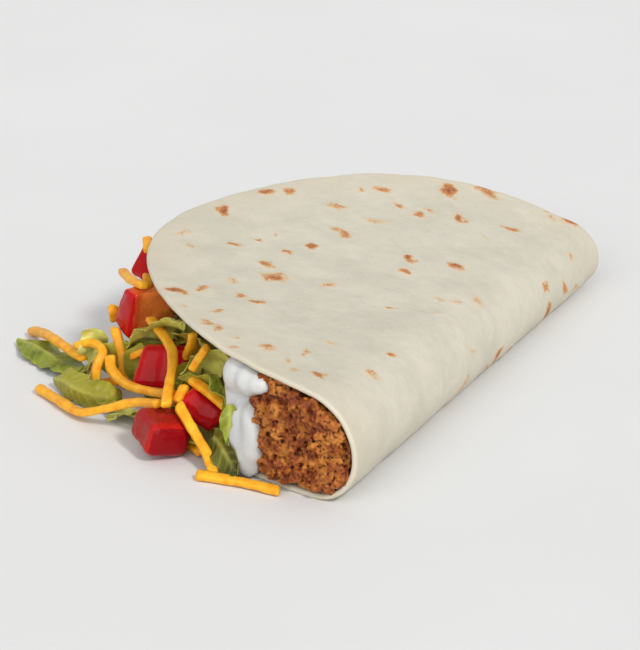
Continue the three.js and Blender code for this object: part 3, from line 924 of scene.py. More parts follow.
# Station and way of each spot that shows, with its radius and darkness where they are its own.
SPOT_PLACES = (
    (-44, 56), (-47, 52, 1.9, 0.85), (-61, 40, 3.2, 0.9), (-68, 33, 3.0, 0.8), (-72, 30, 1.6),
    (-12, 78, 2.6, 0.95), (-31, 57, 2.2, 0.7), (-42, 46, 1.7), (-42, 40, 1.8), (-46, 39, 1.3),
    (-48, 32, 2.0, 0.9), (-55, 21, 2.0, 0.8), (-72, 17, 2.2, 0.7), (-74, 12, 2.2), (0, 64, 1.4),
    (-5, 52, 1.7, 0.9), (-30, 46, 2.6, 0.55), (-18, 50, 2.7, 0.8), (2, 55, 1.5), (6, 67, 1.8),
    (-16, 32, 2.1, 0.95), (-8, 30, 1.8, 0.85), (-21, 22, 2.0, 0.9), (14, 40, 2.0, 0.6),
    (12, 56, 2.0, 0.8), (18, 52, 3.2, 0.85), (27, 58, 1.5, 0.6), (40, 66, 2.2, 1.0),
    (36, 62, 2.1, 0.85), (34, 53, 1.5), (34.5, 49, 1.7), (6, 80, 1.8, 0.6), (12, 75, 2.0, 0.55),
    (46, 53, 1.5, 0.85), (48, 61, 1.6, 0.65), (54, 52, 1.9, 0.7), (56, 49, 1.7, 0.75),
    (63, 42, 1.7, 0.65), (58, 36, 2.1, 0.75), (54, 29, 2.2, 0.65), (45, 26, 2.0, 0.5),
    (62, 30, 1.7, 0.65), (15, 24, 1.3), (-2, 14, 2.0, 0.5), (-8, 11, 2.4, 0.5), (0, 18, 1.7, 0.55),
    (64, 21, 1.9, 1.0), (40, 14, 1.3), (52, 14, 1.8, 0.6), (-40, 4, 2.0, 0.7), (-52, 0, 2.2, 0.75),
    (-60, 6, 1.8, 0.75), (8, 16, 1.3, 0.5), (-44, 24, 1.5, 0.5), (-6, 62, 1.3, 0.6),
    (-27, 74, 2.3, 0.95), (-31, 70, 1.8, 0.8), (8, 3, 1.6, 0.5), (58, 44, 1.4, 0.6), (66, 27, 1.5, 0.6),
)


@dataclass
class Tortilla:
    """The folded flour tortilla."""

    wrap: Wrap
    finish: DoughFinish = DoughFinish()
    sectors: int = 440
    rings: int = 82
    rim_steps: tuple[float, ...] = (0.7, 0.45, 0.25, 0.11, 0.03, 0.0)
    warm_rim: float = 9.0
    rim_warmth: float = 0.45
    rim_patches: Layers = ((0.35, 9, 8),)
    blister_height: float = 0.2
    relief: Layers = ((0.22, 11, 5), (0.13, 4.5, 6), (0.05, 2, 7))
    relief_from: Range = (0.7, 4)
    spot_spread: float = 1.15
    spot_stretch: float = 0.3
    spot_slant: float = 0.4
    spot_softness: float = 0.8
    spot_bend_along: Layers = ((1.0, 2.3, 1), (0.5, 1.1, 2))
    spot_bend_across: Layers = ((1.0, 2.3, 3), (0.5, 1.1, 4))
    hidden_spots: int = 60
    hidden_stations: Range = (-66, 66)
    hidden_ways: Range = (-66, -2)
    hidden_radii: Range = (1.0, 2.8)
    hidden_darkness: Range = (0.5, 0.95)
    seed: int = 5

    def spots(self) -> list[ToastedSpot]:
        """The spots that show in front, and seeded ones for the under half and inside.

        Returns:
            All the spots.
        """
        random = np.random.default_rng(self.seed)
        ranges = (self.hidden_stations, self.hidden_ways, self.hidden_radii, self.hidden_darkness)
        spots = [ToastedSpot(*place) for place in SPOT_PLACES]
        for _ in range(self.hidden_spots):
            spots.append(ToastedSpot(*(random.uniform(*limits) for limits in ranges)))
        return spots

    def toast(self, x: np.ndarray, way: np.ndarray) -> np.ndarray:
        """How toasted the dough is.

        Args:
            x: stations.
            way: ways from the fold.

        Returns:
            Values from 0 to 1.
        """
        flat = np.stack([x, way, np.zeros_like(x)], -1)
        u = x + layered(flat, self.spot_bend_along)
        v = way + layered(flat, self.spot_bend_across)
        toasted = np.zeros_like(x)
        for number, spot in enumerate(self.spots()):
            long = 1 + self.spot_stretch * math.sin(2.4 * number)
            aslant = self.spot_slant * math.cos(3.7 * number)
            wide = ((u - spot.x) * long) ** 2 + ((v - spot.way + aslant * (u - spot.x)) / long) ** 2
            spread = 1 - wide / (self.spot_spread * spot.radius) ** 2
            toasted = np.maximum(toasted, spot.dark * np.clip(spread, 0, 1) ** self.spot_softness)
        return toasted

    def shape(self) -> Shape:
        """The disc of dough, folded.

        Returns:
            Both faces and the rounded rim.
        """
        wrap = self.wrap
        angle = np.arange(self.sectors) * 2 * math.pi / self.sectors
        reach = np.where(np.sin(angle) > 0, wrap.flap_reach(angle), wrap.base_reach(angle))
        inner = 1 - self.rim_steps[0] / wrap.half_fold
        shares = np.concatenate([
            np.linspace(inner / self.rings, inner, self.rings),
            1 - np.array(self.rim_steps[1:]) / wrap.half_fold,
        ])
        x = wrap.half_fold * shares[:, None] * np.cos(angle)
        way = shares[:, None] * reach
        rim = (1 - shares[:, None]) * wrap.half_fold + 0 * x
        rounding = np.clip(1 - rim / self.rim_steps[0], 0, 1)
        half = wrap.thickness / 2 * np.sqrt(np.maximum(1 - rounding**2, 0))
        toasted = self.toast(x, way)
        middle = wrap.point(x, way, wrap.thickness / 2)
        relief = layered(middle, self.relief) + self.blister_height * toasted
        relief = relief * smoothstep(middle[..., 2], *self.relief_from)
        outside = wrap.point(x, way, wrap.thickness / 2 - half - relief)
        inside = wrap.point(x, way, wrap.thickness / 2 + half - relief)
        rings = np.concatenate([outside, inside[::-1][1:]])
        patches = self.rim_warmth + layered(middle, self.rim_patches)
        warm = np.exp(-((rim / self.warm_rim) ** 1.5)) * patches
        values = {"toast": toasted, "rim": np.clip(warm, 0, 1)}
        return loft(rings, {name: np.concatenate([v, v[::-1][1:]]) for name, v in values.items()})

    def build(self) -> None:
        """Makes the tortilla."""
        thing = self.shape().piece("soft_tortilla", self.finish.material())
        settle(thing, "tortilla", "tortilla")


# ---- Bodies under one skin ------------------------------------------------------------------


def ball(level: int) -> tuple[np.ndarray, list[tuple[int, ...]]]:
    """Points and faces of a ball of triangles.

    Args:
        level: how often it is divided.

    Returns:
        The points, at a distance of 1, and the faces.
    """
    made = bmesh.new()
    bmesh.ops.create_icosphere(made, subdivisions=level, radius=1)
    points = np.array([vertex.co[:] for vertex in made.verts])
    faces = [tuple(vertex.index for vertex in face.verts) for face in made.faces]
    made.free()
    return points, faces


@dataclass
class Skin:
    """One even skin over several bodies that run into each other."""

    points: np.ndarray
    normals: np.ndarray
    edges: np.ndarray
    faces: list[tuple[int, ...]]

    @classmethod
    def over(cls, bodies: Sequence[Shape], voxel: float, softening: int) -> "Skin":
        """Lays the skin.

        Args:
            bodies: closed bodies.
            voxel: size of the skin's faces in millimetres.
            softening: how often it is smoothed.

        Returns:
            The skin.
        """
        bare = [Shape(body.points, body.faces) for body in bodies]
        mesh = Shape.joined(bare).mesh("unfinished")
        thing = bpy.data.objects.new("unfinished", mesh)
        bpy.context.scene.collection.objects.link(thing)
        remesh = thing.modifiers.new("one_skin", "REMESH")
        remesh.mode = "VOXEL"
        remesh.voxel_size = voxel * MM
        smooth = thing.modifiers.new("soften", "SMOOTH")
        smooth.factor = 0.5
        smooth.iterations = softening
        laid = thing.evaluated_get(bpy.context.evaluated_depsgraph_get())
        made = laid.to_mesh()
        points, normals = (np.empty(3 * len(made.vertices), np.float32) for _ in range(2))
        made.vertices.foreach_get("co", points)
        made.vertices.foreach_get("normal", normals)
        edges = np.empty(2 * len(made.edges), np.int32)
        made.edges.foreach_get("vertices", edges)
        faces = [tuple(face.vertices) for face in made.polygons]
        laid.to_mesh_clear()
        bpy.data.objects.remove(thing)
        bpy.data.meshes.remove(mesh)
        flat = points.reshape(-1, 3).astype(float) / MM
        return cls(flat, normals.reshape(-1, 3).astype(float), edges.reshape(-1, 2), faces)

    def pushed(self, height: np.ndarray) -> None:
        """Moves each point out by its own height, in millimetres."""
        self.points = self.points + self.normals * height[:, None]

    def hollows(self, rounds: int) -> np.ndarray:
        """How deep each point lies under the places around it.

        Args:
            rounds: how many rows of faces around it count.

        Returns:
            Depths in millimetres.
        """
        first, second = self.edges.T
        count = len(self.points)
        shared = np.bincount(self.edges.ravel(), minlength=count)
        around = self.points
        for _ in range(rounds):
            columns = [
                np.bincount(first, around[second, k], count) + np.bincount(second, around[first, k], count)
                for k in range(3)
            ]
            around = np.stack(columns, -1) / np.maximum(shared, 1)[:, None]
        return np.einsum("ij,ij->i", around - self.points, self.normals)


# ---- Ground beef ----------------------------------------------------------------------------


@dataclass
class GroundBeef:
    """The beef that runs along the fold, crumbly at its two open ends."""

    wrap: Wrap
    finish: BeefFinish = BeefFinish()
    reach: float = 33.0
    inset: float = 2.0
    margin: float = 0.6
    pull: float = 1.3
    core_depth: float = 0.4
    core_shade: float = 0.3
    # The hidden core's low shade and pit values colour it dark: painted shade.
    core_pit_shade: float = 0.6
    last_station: float = 75.7
    core_stop: float = 2.2
    plug_stop: float = 1.6
    plug: float = 14.0
    stations: int = 90
    plug_stations: int = 30
    around: int = 56
    face_angles: Range = (4.0, 26.5)
    outwards: Triple = (0.75, -0.66, 0)
    columns: int = 17
    row_gap: float = 1.9
    row_drift: Range = (0.2, 0.8)
    edge_room: Range = (0.75, 0.55)
    stand: Range = (-1.0, 0.6)
    cream_from: Range = (16.0, 0.74)
    under_cream: float = 1.5
    front_sizes: Range = (0.9, 1.8)
    back_sizes: Range = (1.2, 2.2)
    stretches: tuple[Triple, Triple] = ((0.85, 0.75, 0.7), (1.35, 1.1, 1.0))
    loose_front: tuple[tuple[Triple, float], ...] = (
        ((67.4, 11.6, 17.8), 1.8), ((68.2, 13.2, 15.0), 1.7), ((68.6, 15.6, 20.4), 1.7),
        ((69.8, 18.4, 22.0), 1.6))
    crumb_relief: Layers = ((0.4, 1.4, 14), (0.2, 0.8, 15))
    grains: Layers = ((0.3, 1.1, 16), (0.26, 0.55, 17))
    shades: Layers = ((0.55, 2.4, 18),)
    front_voxel: float = 0.24
    back_voxel: float = 0.45
    pit_width: float = 1.3
    pit_depths: Range = (0.01, 0.18)
    lowest: float = 0.15
    seed: int = 7

    def core(self, first: float, last: float, stations: int) -> Shape:
        """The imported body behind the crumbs.

        Args:
            first: one station where it ends.
            last: the other.
            stations: how many rings it has.

        Returns:
            The body.
        """
        share = np.linspace(0, 1, stations)
        x = lerp(first, last, 0.5 - 0.5 * np.cos(math.pi * share))
        under, over = self.wrap.ways(x, self.reach - self.pull, self.margin + self.pull)
        back = np.linspace(0, 1, 3 * self.around // 4)
        way = -under[:, None] + (under + over)[:, None] * back
        hull = self.wrap.point(x[:, None], way, self.inset + self.core_depth)
        chord = np.linspace(1, 0, self.around // 4 + 2)[1:-1]
        face = lerp(hull[:, :1], hull[:, -1:], chord[None, :, None])
        rings = np.concatenate([hull, face], axis=1)
        even = np.ones(rings.shape[:2])
        return loft(rings, {"shade": self.core_shade * even, "pit_shade": self.core_pit_shade * even})

    def crumb(self, centre: np.ndarray, size: float, random: np.random.Generator) -> Shape:
        """One crumb.

        Args:
            centre: where it lies.
            size: its radius.
            random: source of its form.

        Returns:
            The crumb.
        """
        points, faces = ball(3)
        turn = np.linalg.qr(random.normal(size=(3, 3)))[0]
        body = points * random.uniform(*self.stretches) * size
        relief = layered(body + random.uniform(-50, 50, 3), self.crumb_relief)
        body = (body + points * relief[:, None]) @ turn + centre
        return Shape(body, faces).facing_out()

    def face_crumbs(self, sign: int, sizes: Range, random: np.random.Generator) -> list[Shape]:
        """Crumbs in rows over one of the two open faces.

        Args:
            sign: 1 for the end in front, -1 for the one behind.
            sizes: smallest and largest radius.
            random: source of their places.

        Returns:
            The crumbs.
        """
        crumbs = []
        outwards = np.array(self.outwards) * (sign, 1, 1)
        for column in range(self.columns):
            degrees = lerp(*self.face_angles, (column + random.random()) / self.columns)
            x = sign * self.last_station * math.cos(math.radians(degrees))
            under, over = self.wrap.ways(np.array(x), self.reach, self.margin)
            low = self.wrap.point(x, -under, self.inset)
            high = self.wrap.point(x, over, self.inset)
            chord = math.dist(low, high)
            rows = max(2, round(chord / self.row_gap))
            for row in range(rows):
                size = random.uniform(*sizes)
                share = (row + random.uniform(*self.row_drift)) / rows
                room = np.array(self.edge_room) * size / chord
                share = np.clip(share, room[0], 1 - room[1])
                covered = sign > 0 and degrees > self.cream_from[0] and share > self.cream_from[1]
                stand = random.uniform(*self.stand) - self.under_cream * covered
                crumbs.append(self.crumb(lerp(low, high, share) + outwards * stand, size, random))
        return crumbs

    def end(self, sign: int, crumbs: list[Shape], voxel: float) -> Shape:
        """One crumbly end.

        Args:
            sign: 1 for the end in front, -1 for the one behind.
            crumbs: its crumbs.
            voxel: size of its faces.

        Returns:
            The end, with its shade values and the painted shade of its pits.
        """
        last = self.last_station - self.plug_stop
        plug = self.core(sign * (last - self.plug), sign * last, self.plug_stations)
        skin = Skin.over([plug, *crumbs], voxel, 1)
        grains = layered(skin.points, self.grains)
        skin.pushed(grains)
        skin.points[:, 2] = np.maximum(skin.points[:, 2], self.lowest)
        # Painted shade in the hollows: points that lie deeper than the places around them get a higher pit
        # value.
        deep = smoothstep(skin.hollows(round(self.pit_width / voxel)), *self.pit_depths)
        shade = np.clip(0.5 + layered(skin.points, self.shades) + 0.6 * grains, 0, 1)
        return Shape(skin.points, skin.faces, {"shade": shade, "pit_shade": 0.95 * deep})

    def build(self) -> None:
        """Makes the beef."""
        random = np.random.default_rng(self.seed)
        front = self.face_crumbs(1, self.front_sizes, random)
        front += [self.crumb(np.array(place), size, random) for place, size in self.loose_front]
        back = self.face_crumbs(-1, self.back_sizes, random)
        last = self.last_station - self.core_stop
        shapes = [
            self.core(-last, last, self.stations),
            self.end(1, front, self.front_voxel),
            self.end(-1, back, self.back_voxel),
        ]
        thing = Shape.joined(shapes).piece("crumbled_beef", self.finish.material())
        settle(thing, "beef", "ground_beef")


# ---- Sour cream -----------------------------------------------------------------------------


@dataclass
class SourCream:
    """The band of cream between beef and lettuce, soft where it runs out over the lip."""

    wrap: Wrap
    finish: CreamFinish = CreamFinish()
    near: float = 33.6
    far: float = 42.5
    inset: float = 2.2
    last_stations: Range = (-60.0, 59.0)
    stations: int = 90
    front_path: tuple[Triple, ...] = (
        (58, 6.4, 25.5), (60.5, 6, 18.5), (63, 7, 13), (66, 8.1, 7.5), (69.6, 10.2, 0.9))
    front_half: Range = (4.1, 3.3)
    back_path: tuple[Triple, ...] = ((-58, 5, 20), (-61, 6, 14), (-65, 8, 6), (-67.5, 10, 1.2))
    back_half: Range = (4.0, 3.0)
    lobes: tuple[tuple[Triple, float], ...] = (
        ((63.0, 6.3, 21.8), 4.2), ((66.6, 9.9, 21.9), 3.2), ((68.4, 12.4, 22.4), 2.4),
        ((69.2, 14.2, 22.7), 1.8), ((-60.0, 6.5, 17.5), 4.2))
    beside_path: tuple[Triple, ...] = (
        (65.6, 9.9, 17.0), (66.8, 10.4, 12.2), (68.0, 10.4, 8.0), (69.6, 11.2, 4.0))
    beside_half: Range = (2.3, 2.5)
    end_steps: int = 44
    end_rounding: float = 0.28
    top_swell: float = 0.4
    voxel: float = 0.5
    softening: int = 36
    fuller: float = 0.5
    swells: Layers = ((0.34, 5.5, 21), (0.12, 2.6, 22))
    lowest: float = 0.1
    shaded_below: Range = (9, 17)

    def band(self) -> Shape:
        """The band along the fold.

        Returns:
            The closed band.
        """
        x = np.linspace(*self.last_stations, self.stations)[:, None]
        ways = np.linspace(self.near, self.far, 12)
        low = self.wrap.point(x, -ways[None], self.inset)
        high = self.wrap.point(x, ways[None, ::-1], self.inset)
        shares = np.linspace(0, 1, 14)[1:-1][None, :, None]
        outer = lerp(low[:, -1:], high[:, :1], shares)
        inner = lerp(high[:, -1:], low[:, :1], shares)
        return loft(np.concatenate([low, outer, high, inner], axis=1), {})

    def end(self, points: Sequence[Triple], half: Range) -> Shape:
        """A round band down over the lip, fuller at its top.

        Args:
            points: its path from the top.
            half: half its width and half its depth.

        Returns:
            The band.
        """
        share = np.linspace(0, 1, self.end_steps)
        to_end = np.clip(np.abs(2 * share - 1) * (1 + self.end_rounding) - self.end_rounding, 0, 1)
        round_end = np.sqrt(np.maximum(1 - to_end**2, 0.0004))
        centre, side, heading = Path(points).frame(share, ACROSS_VIEW)
        outward = np.cross(side, heading)
        angle = np.linspace(0, 2 * math.pi, 36, endpoint=False)
        width = half[0] * (1 + self.top_swell * smoothstep(1 - share, 0.5, 0.9)) * round_end
        wide = width[:, None, None] * np.cos(angle)[None, :, None] * side[:, None]
        deep = (half[1] * round_end)[:, None, None] * np.sin(angle)[None, :, None] * outward[:, None]
        return loft(centre[:, None] + wide + deep, {})

    def build(self) -> None:
        """Makes the cream as one soft body."""
        bodies = [
            self.band(),
            self.end(self.front_path, self.front_half),
            self.end(self.back_path, self.back_half),
            self.end(self.beside_path, self.beside_half),
        ]
        points, faces = ball(3)
        bodies += [Shape(points * size + centre, faces).facing_out() for centre, size in self.lobes]
        skin = Skin.over(bodies, self.voxel, self.softening)
        skin.pushed(self.fuller + layered(skin.points, self.swells))
        skin.points[:, 2] = np.maximum(skin.points[:, 2], self.lowest)
        low = 1 - smoothstep(skin.points[:, 2], *self.shaded_below)
        thing = Shape(skin.points, skin.faces, {"low": low}).piece("cream_band", self.finish.material())
        settle(thing, "cream", "sour_cream")


# ---- Lettuce --------------------------------------------------------------------------------


@dataclass
class LettuceLeaf:
    """A leaf, or a shred of one, along a path: thin, curled, ruffled and ragged at its edges."""

    path: Sequence[Triple]
    width: float
    across: Triple
    green: Green = Green.YELLOW
    curl: float = 0.3
    ruffle: float = 0.5
    ends: Range = (0.35, 0.15)
    opening: Range = (3.2, 2.6)
    narrowest: float = 0.14
    thickness: float = 0.5
    step: float = 0.4
    columns: int = 25
    seed: int = 0
    rest: float = 0.55
    waves: float = 2
    vein_gap: float = 2.6
    vein_slant: float = 0.9
    vein_width: float = 0.22
    rib_width: float = 0.5
    rib_depth: float = 0.25
    quilting: float = 0.08
    frill: float = 0.35
    tip: float = 0.0
    tip_share: float = 0.22
    ragged_edge: Layers = ((0.16, 1.5, 31), (0.12, 4, 32))
    frills: Layers = ((1.0, 2.2, 33),)
    crinkles: Layers = ((0.2, 1.9, 34), (0.1, 0.9, 36))
    tones: Layers = ((0.5, 5, 35),)

    def half_width(self, along: np.ndarray, out: np.ndarray, way: np.ndarray) -> np.ndarray:
        """Half the leaf's width, narrow at its ends and ragged at its edges.

        Args:
            along: share of the length, by row.
            out: place across from -1 to 1, by column.
            way: distance along the path, by row.

        Returns:
            Half widths by row and column.
        """
        start = self.ends[0] + self.opening[0] * along
        end = self.ends[1] + self.opening[1] * (1 - along)
        fullness = np.maximum(np.minimum(1, np.minimum(start, end)), self.narrowest)
        edge = np.stack(np.broadcast_arrays(way, np.sign(out) * 3, self.seed * 7.1), -1)
        ragged = 1 + layered(edge, self.ragged_edge)
        return self.width / 2 * fullness * lerp(1, ragged, out**2)

    def lift(self, along: np.ndarray, out: np.ndarray, half: np.ndarray, flat: np.ndarray) -> np.ndarray:
        """How far the curled and ruffled leaf stands off its path.

        Args:
            along: share of the length, by row.
            out: place across from -1 to 1, by column.
            half: half widths.
            flat: places on the leaf laid flat.

        Returns:
            Distances by row and column.
        """
        curled = self.curl * half * out**2
        ruffled = self.ruffle * out * np.sin(2 * math.pi * self.waves * along + out)
        frilled = self.frill * self.ruffle * np.abs(out) ** 3 * layered(flat, self.frills)
        return curled + ruffled + frilled + layered(flat, self.crinkles)

    def shape(self) -> Shape:
        """The leaf as a thin closed sheet.

        Returns:
            The sheet with its rib and tone values.
        """
        path = Path(self.path)
        share = np.linspace(0, 1, max(10, round(path.length / self.step)))
        centre, side, heading = path.frame(share, self.across)
        up = np.cross(heading, side)
        along = share[:, None]
        out = np.sin(np.linspace(-0.5, 0.5, self.columns) * math.pi)[None]
        off_rib = np.abs(out)
        way = along * path.length
        half = self.half_width(along, out, way)
        start = 0.5 * (out > 0) + 0.37 * self.seed
        phase = (way - self.vein_slant * off_rib * half) / self.vein_gap + start
        off_vein = np.abs(phase - np.round(phase)) * self.vein_gap
        vein = np.exp(-((off_vein / self.vein_width) ** 2)) * (1 - 0.5 * off_rib)
        vein = vein * smoothstep(off_rib, 0.05, 0.2)
        rib = np.exp(-((out * half / self.rib_width) ** 2)) * smoothstep(1 - along, 0.02, 0.5)
        flat = np.stack(np.broadcast_arrays(way, out * half, self.seed * 9.3), -1)
        quilted = self.quilting * np.cos(2 * math.pi * phase) * smoothstep(off_rib, 0.1, 0.4)
        lift = self.lift(along, out, half, flat) - quilted - self.rib_depth * rib
        middle = centre[:, None] + side[:, None] * (out * half)[..., None] + up[:, None] * lift[..., None]
        middle[..., 2] = np.maximum(middle[..., 2], self.rest)
        thick = self.thickness / 2 * (0.25 + 0.75 * np.sqrt(1 - 0.9 * out**6) + 0.5 * rib + 0.15 * vein)
        skin = up[:, None] * thick[..., None]
        pale = 0.75 * rib + 0.4 * vein + 0.3 * smoothstep(off_rib, 0.9, 1)
        pale = np.clip(pale + self.tip * (1 - smoothstep(along, 0, self.tip_share)), 0, 1)
        tone = 0.5 + layered(flat, self.tones)
        return sheet(middle + skin, middle - skin, {"rib": pale, "tone": tone})

    def build(self, number: int) -> None:
        """Makes the leaf as a piece of its own.

        Args:
            number: its number, which also seeds its form.
        """
        self.seed = number
        thing = self.shape().piece(f"leaf_{number:02d}", LettuceFinish(self.green).material())
        settle(thing, "lettuce", f"lettuce_leaf_{number:02d}")


LEAVES = (
    LettuceLeaf(
        path=((12.5, -75, 1.2), (16.5, -68.5, 2), (21.5, -61.5, 2.2), (25.5, -55.5, 2.4), (27, -51, 2.6)),
        width=8, across=(0.85, -0.5, -0.1), ends=(0.12, 0.6), curl=0.12, green=Green.BRIGHT),
    LettuceLeaf(
        path=((34.6, -54.2, 2.2), (38.2, -49.5, 3.4), (42, -45, 3.8), (43.8, -40.8, 3.8), (43.2, -37, 3.5),
              (40.5, -34.4, 2.5)),
        width=7, across=(0.45, -0.25, -0.85), ends=(0.5, 0.5), curl=0.45, ruffle=0.6, green=Green.YELLOW),
    LettuceLeaf(
        path=((26.5, -47.3, 12.6), (27, -47.6, 9.5), (27, -48.6, 5.5), (28, -49, 1.5)),
        width=5.8, across=ACROSS_VIEW, ends=(0.7, -0.45), ruffle=1.2, curl=0.4, green=Green.PALE),
    LettuceLeaf(
        path=((50.8, -33, 1), (49.4, -31.2, 2.2), (50, -28.4, 3.6), (50.5, -25, 4)),
        width=2.2, across=(-0.9, 0.3, 0.4), green=Green.PALE),
    LettuceLeaf(
        path=((27, -38.6, 9.4), (28.5, -33.5, 13.5), (33, -26, 18), (40, -18.5, 22.5)),
        width=9, across=(0.7, 0, 0.6), ruffle=0.8, tip=0.7, green=Green.OLIVE),
    LettuceLeaf(
        path=((25.5, -28, 13), (33, -21, 15), (44, -11, 19.5)),
        width=8, across=(0.6, 0, 0.8), ruffle=0.8, green=Green.TAN),
    LettuceLeaf(
        path=((51.5, -14.2, 14.6), (50, -10.5, 16.8), (50.5, -6, 19.3), (54, 0.3, 20.5)),
        width=7.4, across=(0.35, -0.1, 0.9), ends=(0.05, 0.35), curl=0.4, green=Green.OLIVE),
    LettuceLeaf(
        path=((55, -4.3, 17), (58, -1.5, 15.6), (60.5, 1.3, 13.4)),
        width=5.4, across=(0.3, -0.6, 0.8), ends=(0.5, 0.05), green=Green.BRIGHT),
    LettuceLeaf(
        path=((66, 4.2, 15.6), (67.5, 4.8, 11.6), (68.3, 4.5, 7.4)),
        width=4.2, across=ACROSS_VIEW, ends=(0.3, 0.1), green=Green.BRIGHT),
    LettuceLeaf(
        path=((63.5, -1, 6.6), (68, 3.6, 5.4), (72.6, 8.9, 2)),
        width=7, across=(-0.1, 0.6, 0.8), ends=(0.6, 0.1), green=Green.DARK),
)

FIRST_LOOSE_LEAF = 40
LOOSE_LEAVES = (
    LettuceLeaf(path=((26, -43.5, 1), (27.5, -41.5, 5.5), (28.5, -38, 11)), width=9,
                across=ACROSS_VIEW, columns=13),
    LettuceLeaf(path=((30, -51.5, 1), (26.5, -50, 2.5), (23, -48.5, 4)), width=3.2,
                across=(0.9, 0.3, 0.2), columns=13),
    LettuceLeaf(path=((34, -44, 1.2), (40, -38, 2), (47, -30, 2.4), (51, -24, 2.6)), width=6,
                across=(0.8, -0.5, 0.3), columns=13),
    LettuceLeaf(path=((52.4, -14.4, 14.4), (53.2, -10.5, 14.8), (54, -6.5, 15.4), (54.6, -4, 16.2)),
                width=2.8, across=(0.2, 0, 1), ends=(0.1, 0.4), columns=13),
    LettuceLeaf(path=((29, -36.5, 2), (29.5, -35.5, 7), (30.5, -33.5, 12)), width=6,
                across=ACROSS_VIEW, columns=13),
    LettuceLeaf(path=((56, -20, 1.2), (58, -12, 2.4), (62, -5, 4)), width=6,
                across=(0.8, -0.4, 0.3), columns=13),
)


@dataclass
class LettuceHeap:
    """The heap of shredded lettuce in the mouth: a leafy core under many strips."""

    wrap: Wrap
    last_stations: Range = (61.0, -62.0)
    slope: tuple[Range, ...] = (
        (0, 0.3), (2, 0.4), (3, 3.5), (5, 6), (8, 9), (11.5, 12), (16, 17), (20, 20))
    fullness: Range = (1.3, 0.8)
    fuller_behind: Range = (24, 36)
    spills: Triple = (4, 12, 2.4)
    spill_behind: Range = (-20, 10)
    spill_in_front: Range = (40, 60)
    bend_take: float = 0.43
    roof_run: float = 30.0
    roof_gap: float = 1.0
    depth: float = 20.0
    cream_reach: float = 43.1
    inset: float = 2.2
    pull: float = 1.2
    stations: int = 150
    rows: int = 34
    core_faces: Triple = (0, -0.8, 0.6)
    core_relief: Layers = ((0.9, 3.5, 41),)
    core_folds: Layers = ((0.5, 2, 42),)
    core_tones: Layers = ((0.4, 4, 43),)
    lowest: float = 0.3
    end_rounding: float = 6.0
    end_height: float = 0.45
    strips: int = 170
    end_strips: int = 26
    front_strips: int = 60
    front_from: float = 14.0
    die_room: float = 5.5
    strip_depths: Range = (2.5, 17)
    end_depths: Range = (4, 17)
    front_depths: Range = (4, 15)
    stands: Triple = (2.2, 1.6, 0.8)
    strip_knots: tuple[float, ...] = (-0.5, -0.2, 0.15, 0.5)
    strip_lengths: Range = (8, 19)
    strip_widths: Range = (2.2, 4.6)
    strip_turn: float = 0.7
    strip_tilt: float = 0.6
    strip_wander: float = 1.3
    strip_curls: Range = (0, 0.5)
    strip_ruffles: Range = (0.2, 0.7)
    strip_ends: tuple[Range, Range] = ((0.3, 0.9), (0.2, 0.8))
    strip_waves: Range = (1, 2.5)
    strip_tones: Range = (-0.5, 0.5)
    strip_roof_gap: float = 1.5
    strip_lowest: float = 0.9
    seed: int = 11

    def foot(self, x: np.ndarray) -> np.ndarray:
        """Where the heap meets the table.

        Args:
            x: stations along the fold.

        Returns:
            Y of the heap's foot at each station.
        """
        behind, middle, front = self.spills
        growing = lerp(behind, middle, smoothstep(x, *self.spill_behind))
        shrinking = lerp(middle, front, smoothstep(x, *self.spill_in_front))
        edge = self.wrap.fold_y - self.wrap.base_reach(self.wrap.row_angle(x))
        edge = edge + self.bend_take * self.wrap.fold_heights[0]
        return edge - np.where(x < self.spill_behind[1], growing, shrinking)

    def full(self, x: np.ndarray) -> np.ndarray:
        """How high the slope is at station x, as a share."""
        return lerp(*self.fullness, smoothstep(x, *self.fuller_behind))

    def roof(self, x: np.ndarray, y: np.ndarray) -> np.ndarray:
        """Height of the flap's inside over a place.

        Args:
            x: stations along the fold.
            y: places across it.

        Returns:
            The heights.
        """
        high = self.wrap.point(x, self.cream_reach, self.inset)
        edge = self.wrap.point(x, self.wrap.flap_reach(self.wrap.row_angle(x)), self.inset)
        outwards = (high[..., 1] - y) / self.roof_run
        return np.minimum(high[..., 2], lerp(high[..., 2], edge[..., 2], outwards))

    def height(self, x: np.ndarray, inwards: np.ndarray) -> np.ndarray:
        """Height of the slope.

        Args:
            x: stations along the fold.
            inwards: distances in from the foot.

        Returns:
            The heights.
        """
        ways, heights = zip(*self.slope)
        rise = np.interp(inwards, ways, heights) * self.full(x)
        return np.minimum(rise, self.roof(x, self.foot(x) + inwards) - self.roof_gap)

    def core(self) -> Shape:
        """The leafy body under the strips.

        Returns:
            The body with its rib and tone values.
        """
        x = np.linspace(self.last_stations[0] - 1, self.last_stations[1] + 1, self.stations)[:, None]
        inwards = np.linspace(self.pull, self.depth, self.rows)[None]
        low = self.wrap.point(x, -self.cream_reach, self.inset)
        high = self.wrap.point(x, self.cream_reach, self.inset)
        y = np.minimum(self.foot(x) + inwards, low[..., 1] - 0.5)
        to_end = np.clip((x - x[-1]) / self.end_rounding, 0, 1)
        rounded = lerp(self.end_height, 1, np.sqrt(to_end * (2 - to_end)))
        y = lerp(low[..., 1], y, rounded)
        z = np.maximum((self.height(x, inwards) - self.pull) * rounded, self.lowest)
        slope = np.stack(np.broadcast_arrays(x, y, z), -1)
        back = lerp(high, low, np.linspace(0, 1, 12)[None, :, None])
        rings = np.concatenate([slope, back], axis=1)
        outward = np.zeros_like(rings)
        outward[:, : self.rows] = self.core_faces
        leafy = layered(rings, self.core_relief) + layered(rings * (1, 2, 2), self.core_folds)
        rings = rings + outward * leafy[..., None]
        rings[..., 2] = np.maximum(rings[..., 2], self.lowest)
        # Painted shade: the core's tone starts low, so the lettuce deep in the heap is coloured darker.
        tone = 0.35 + layered(rings, self.core_tones)
        return loft(rings, {"rib": np.zeros_like(tone), "tone": tone})

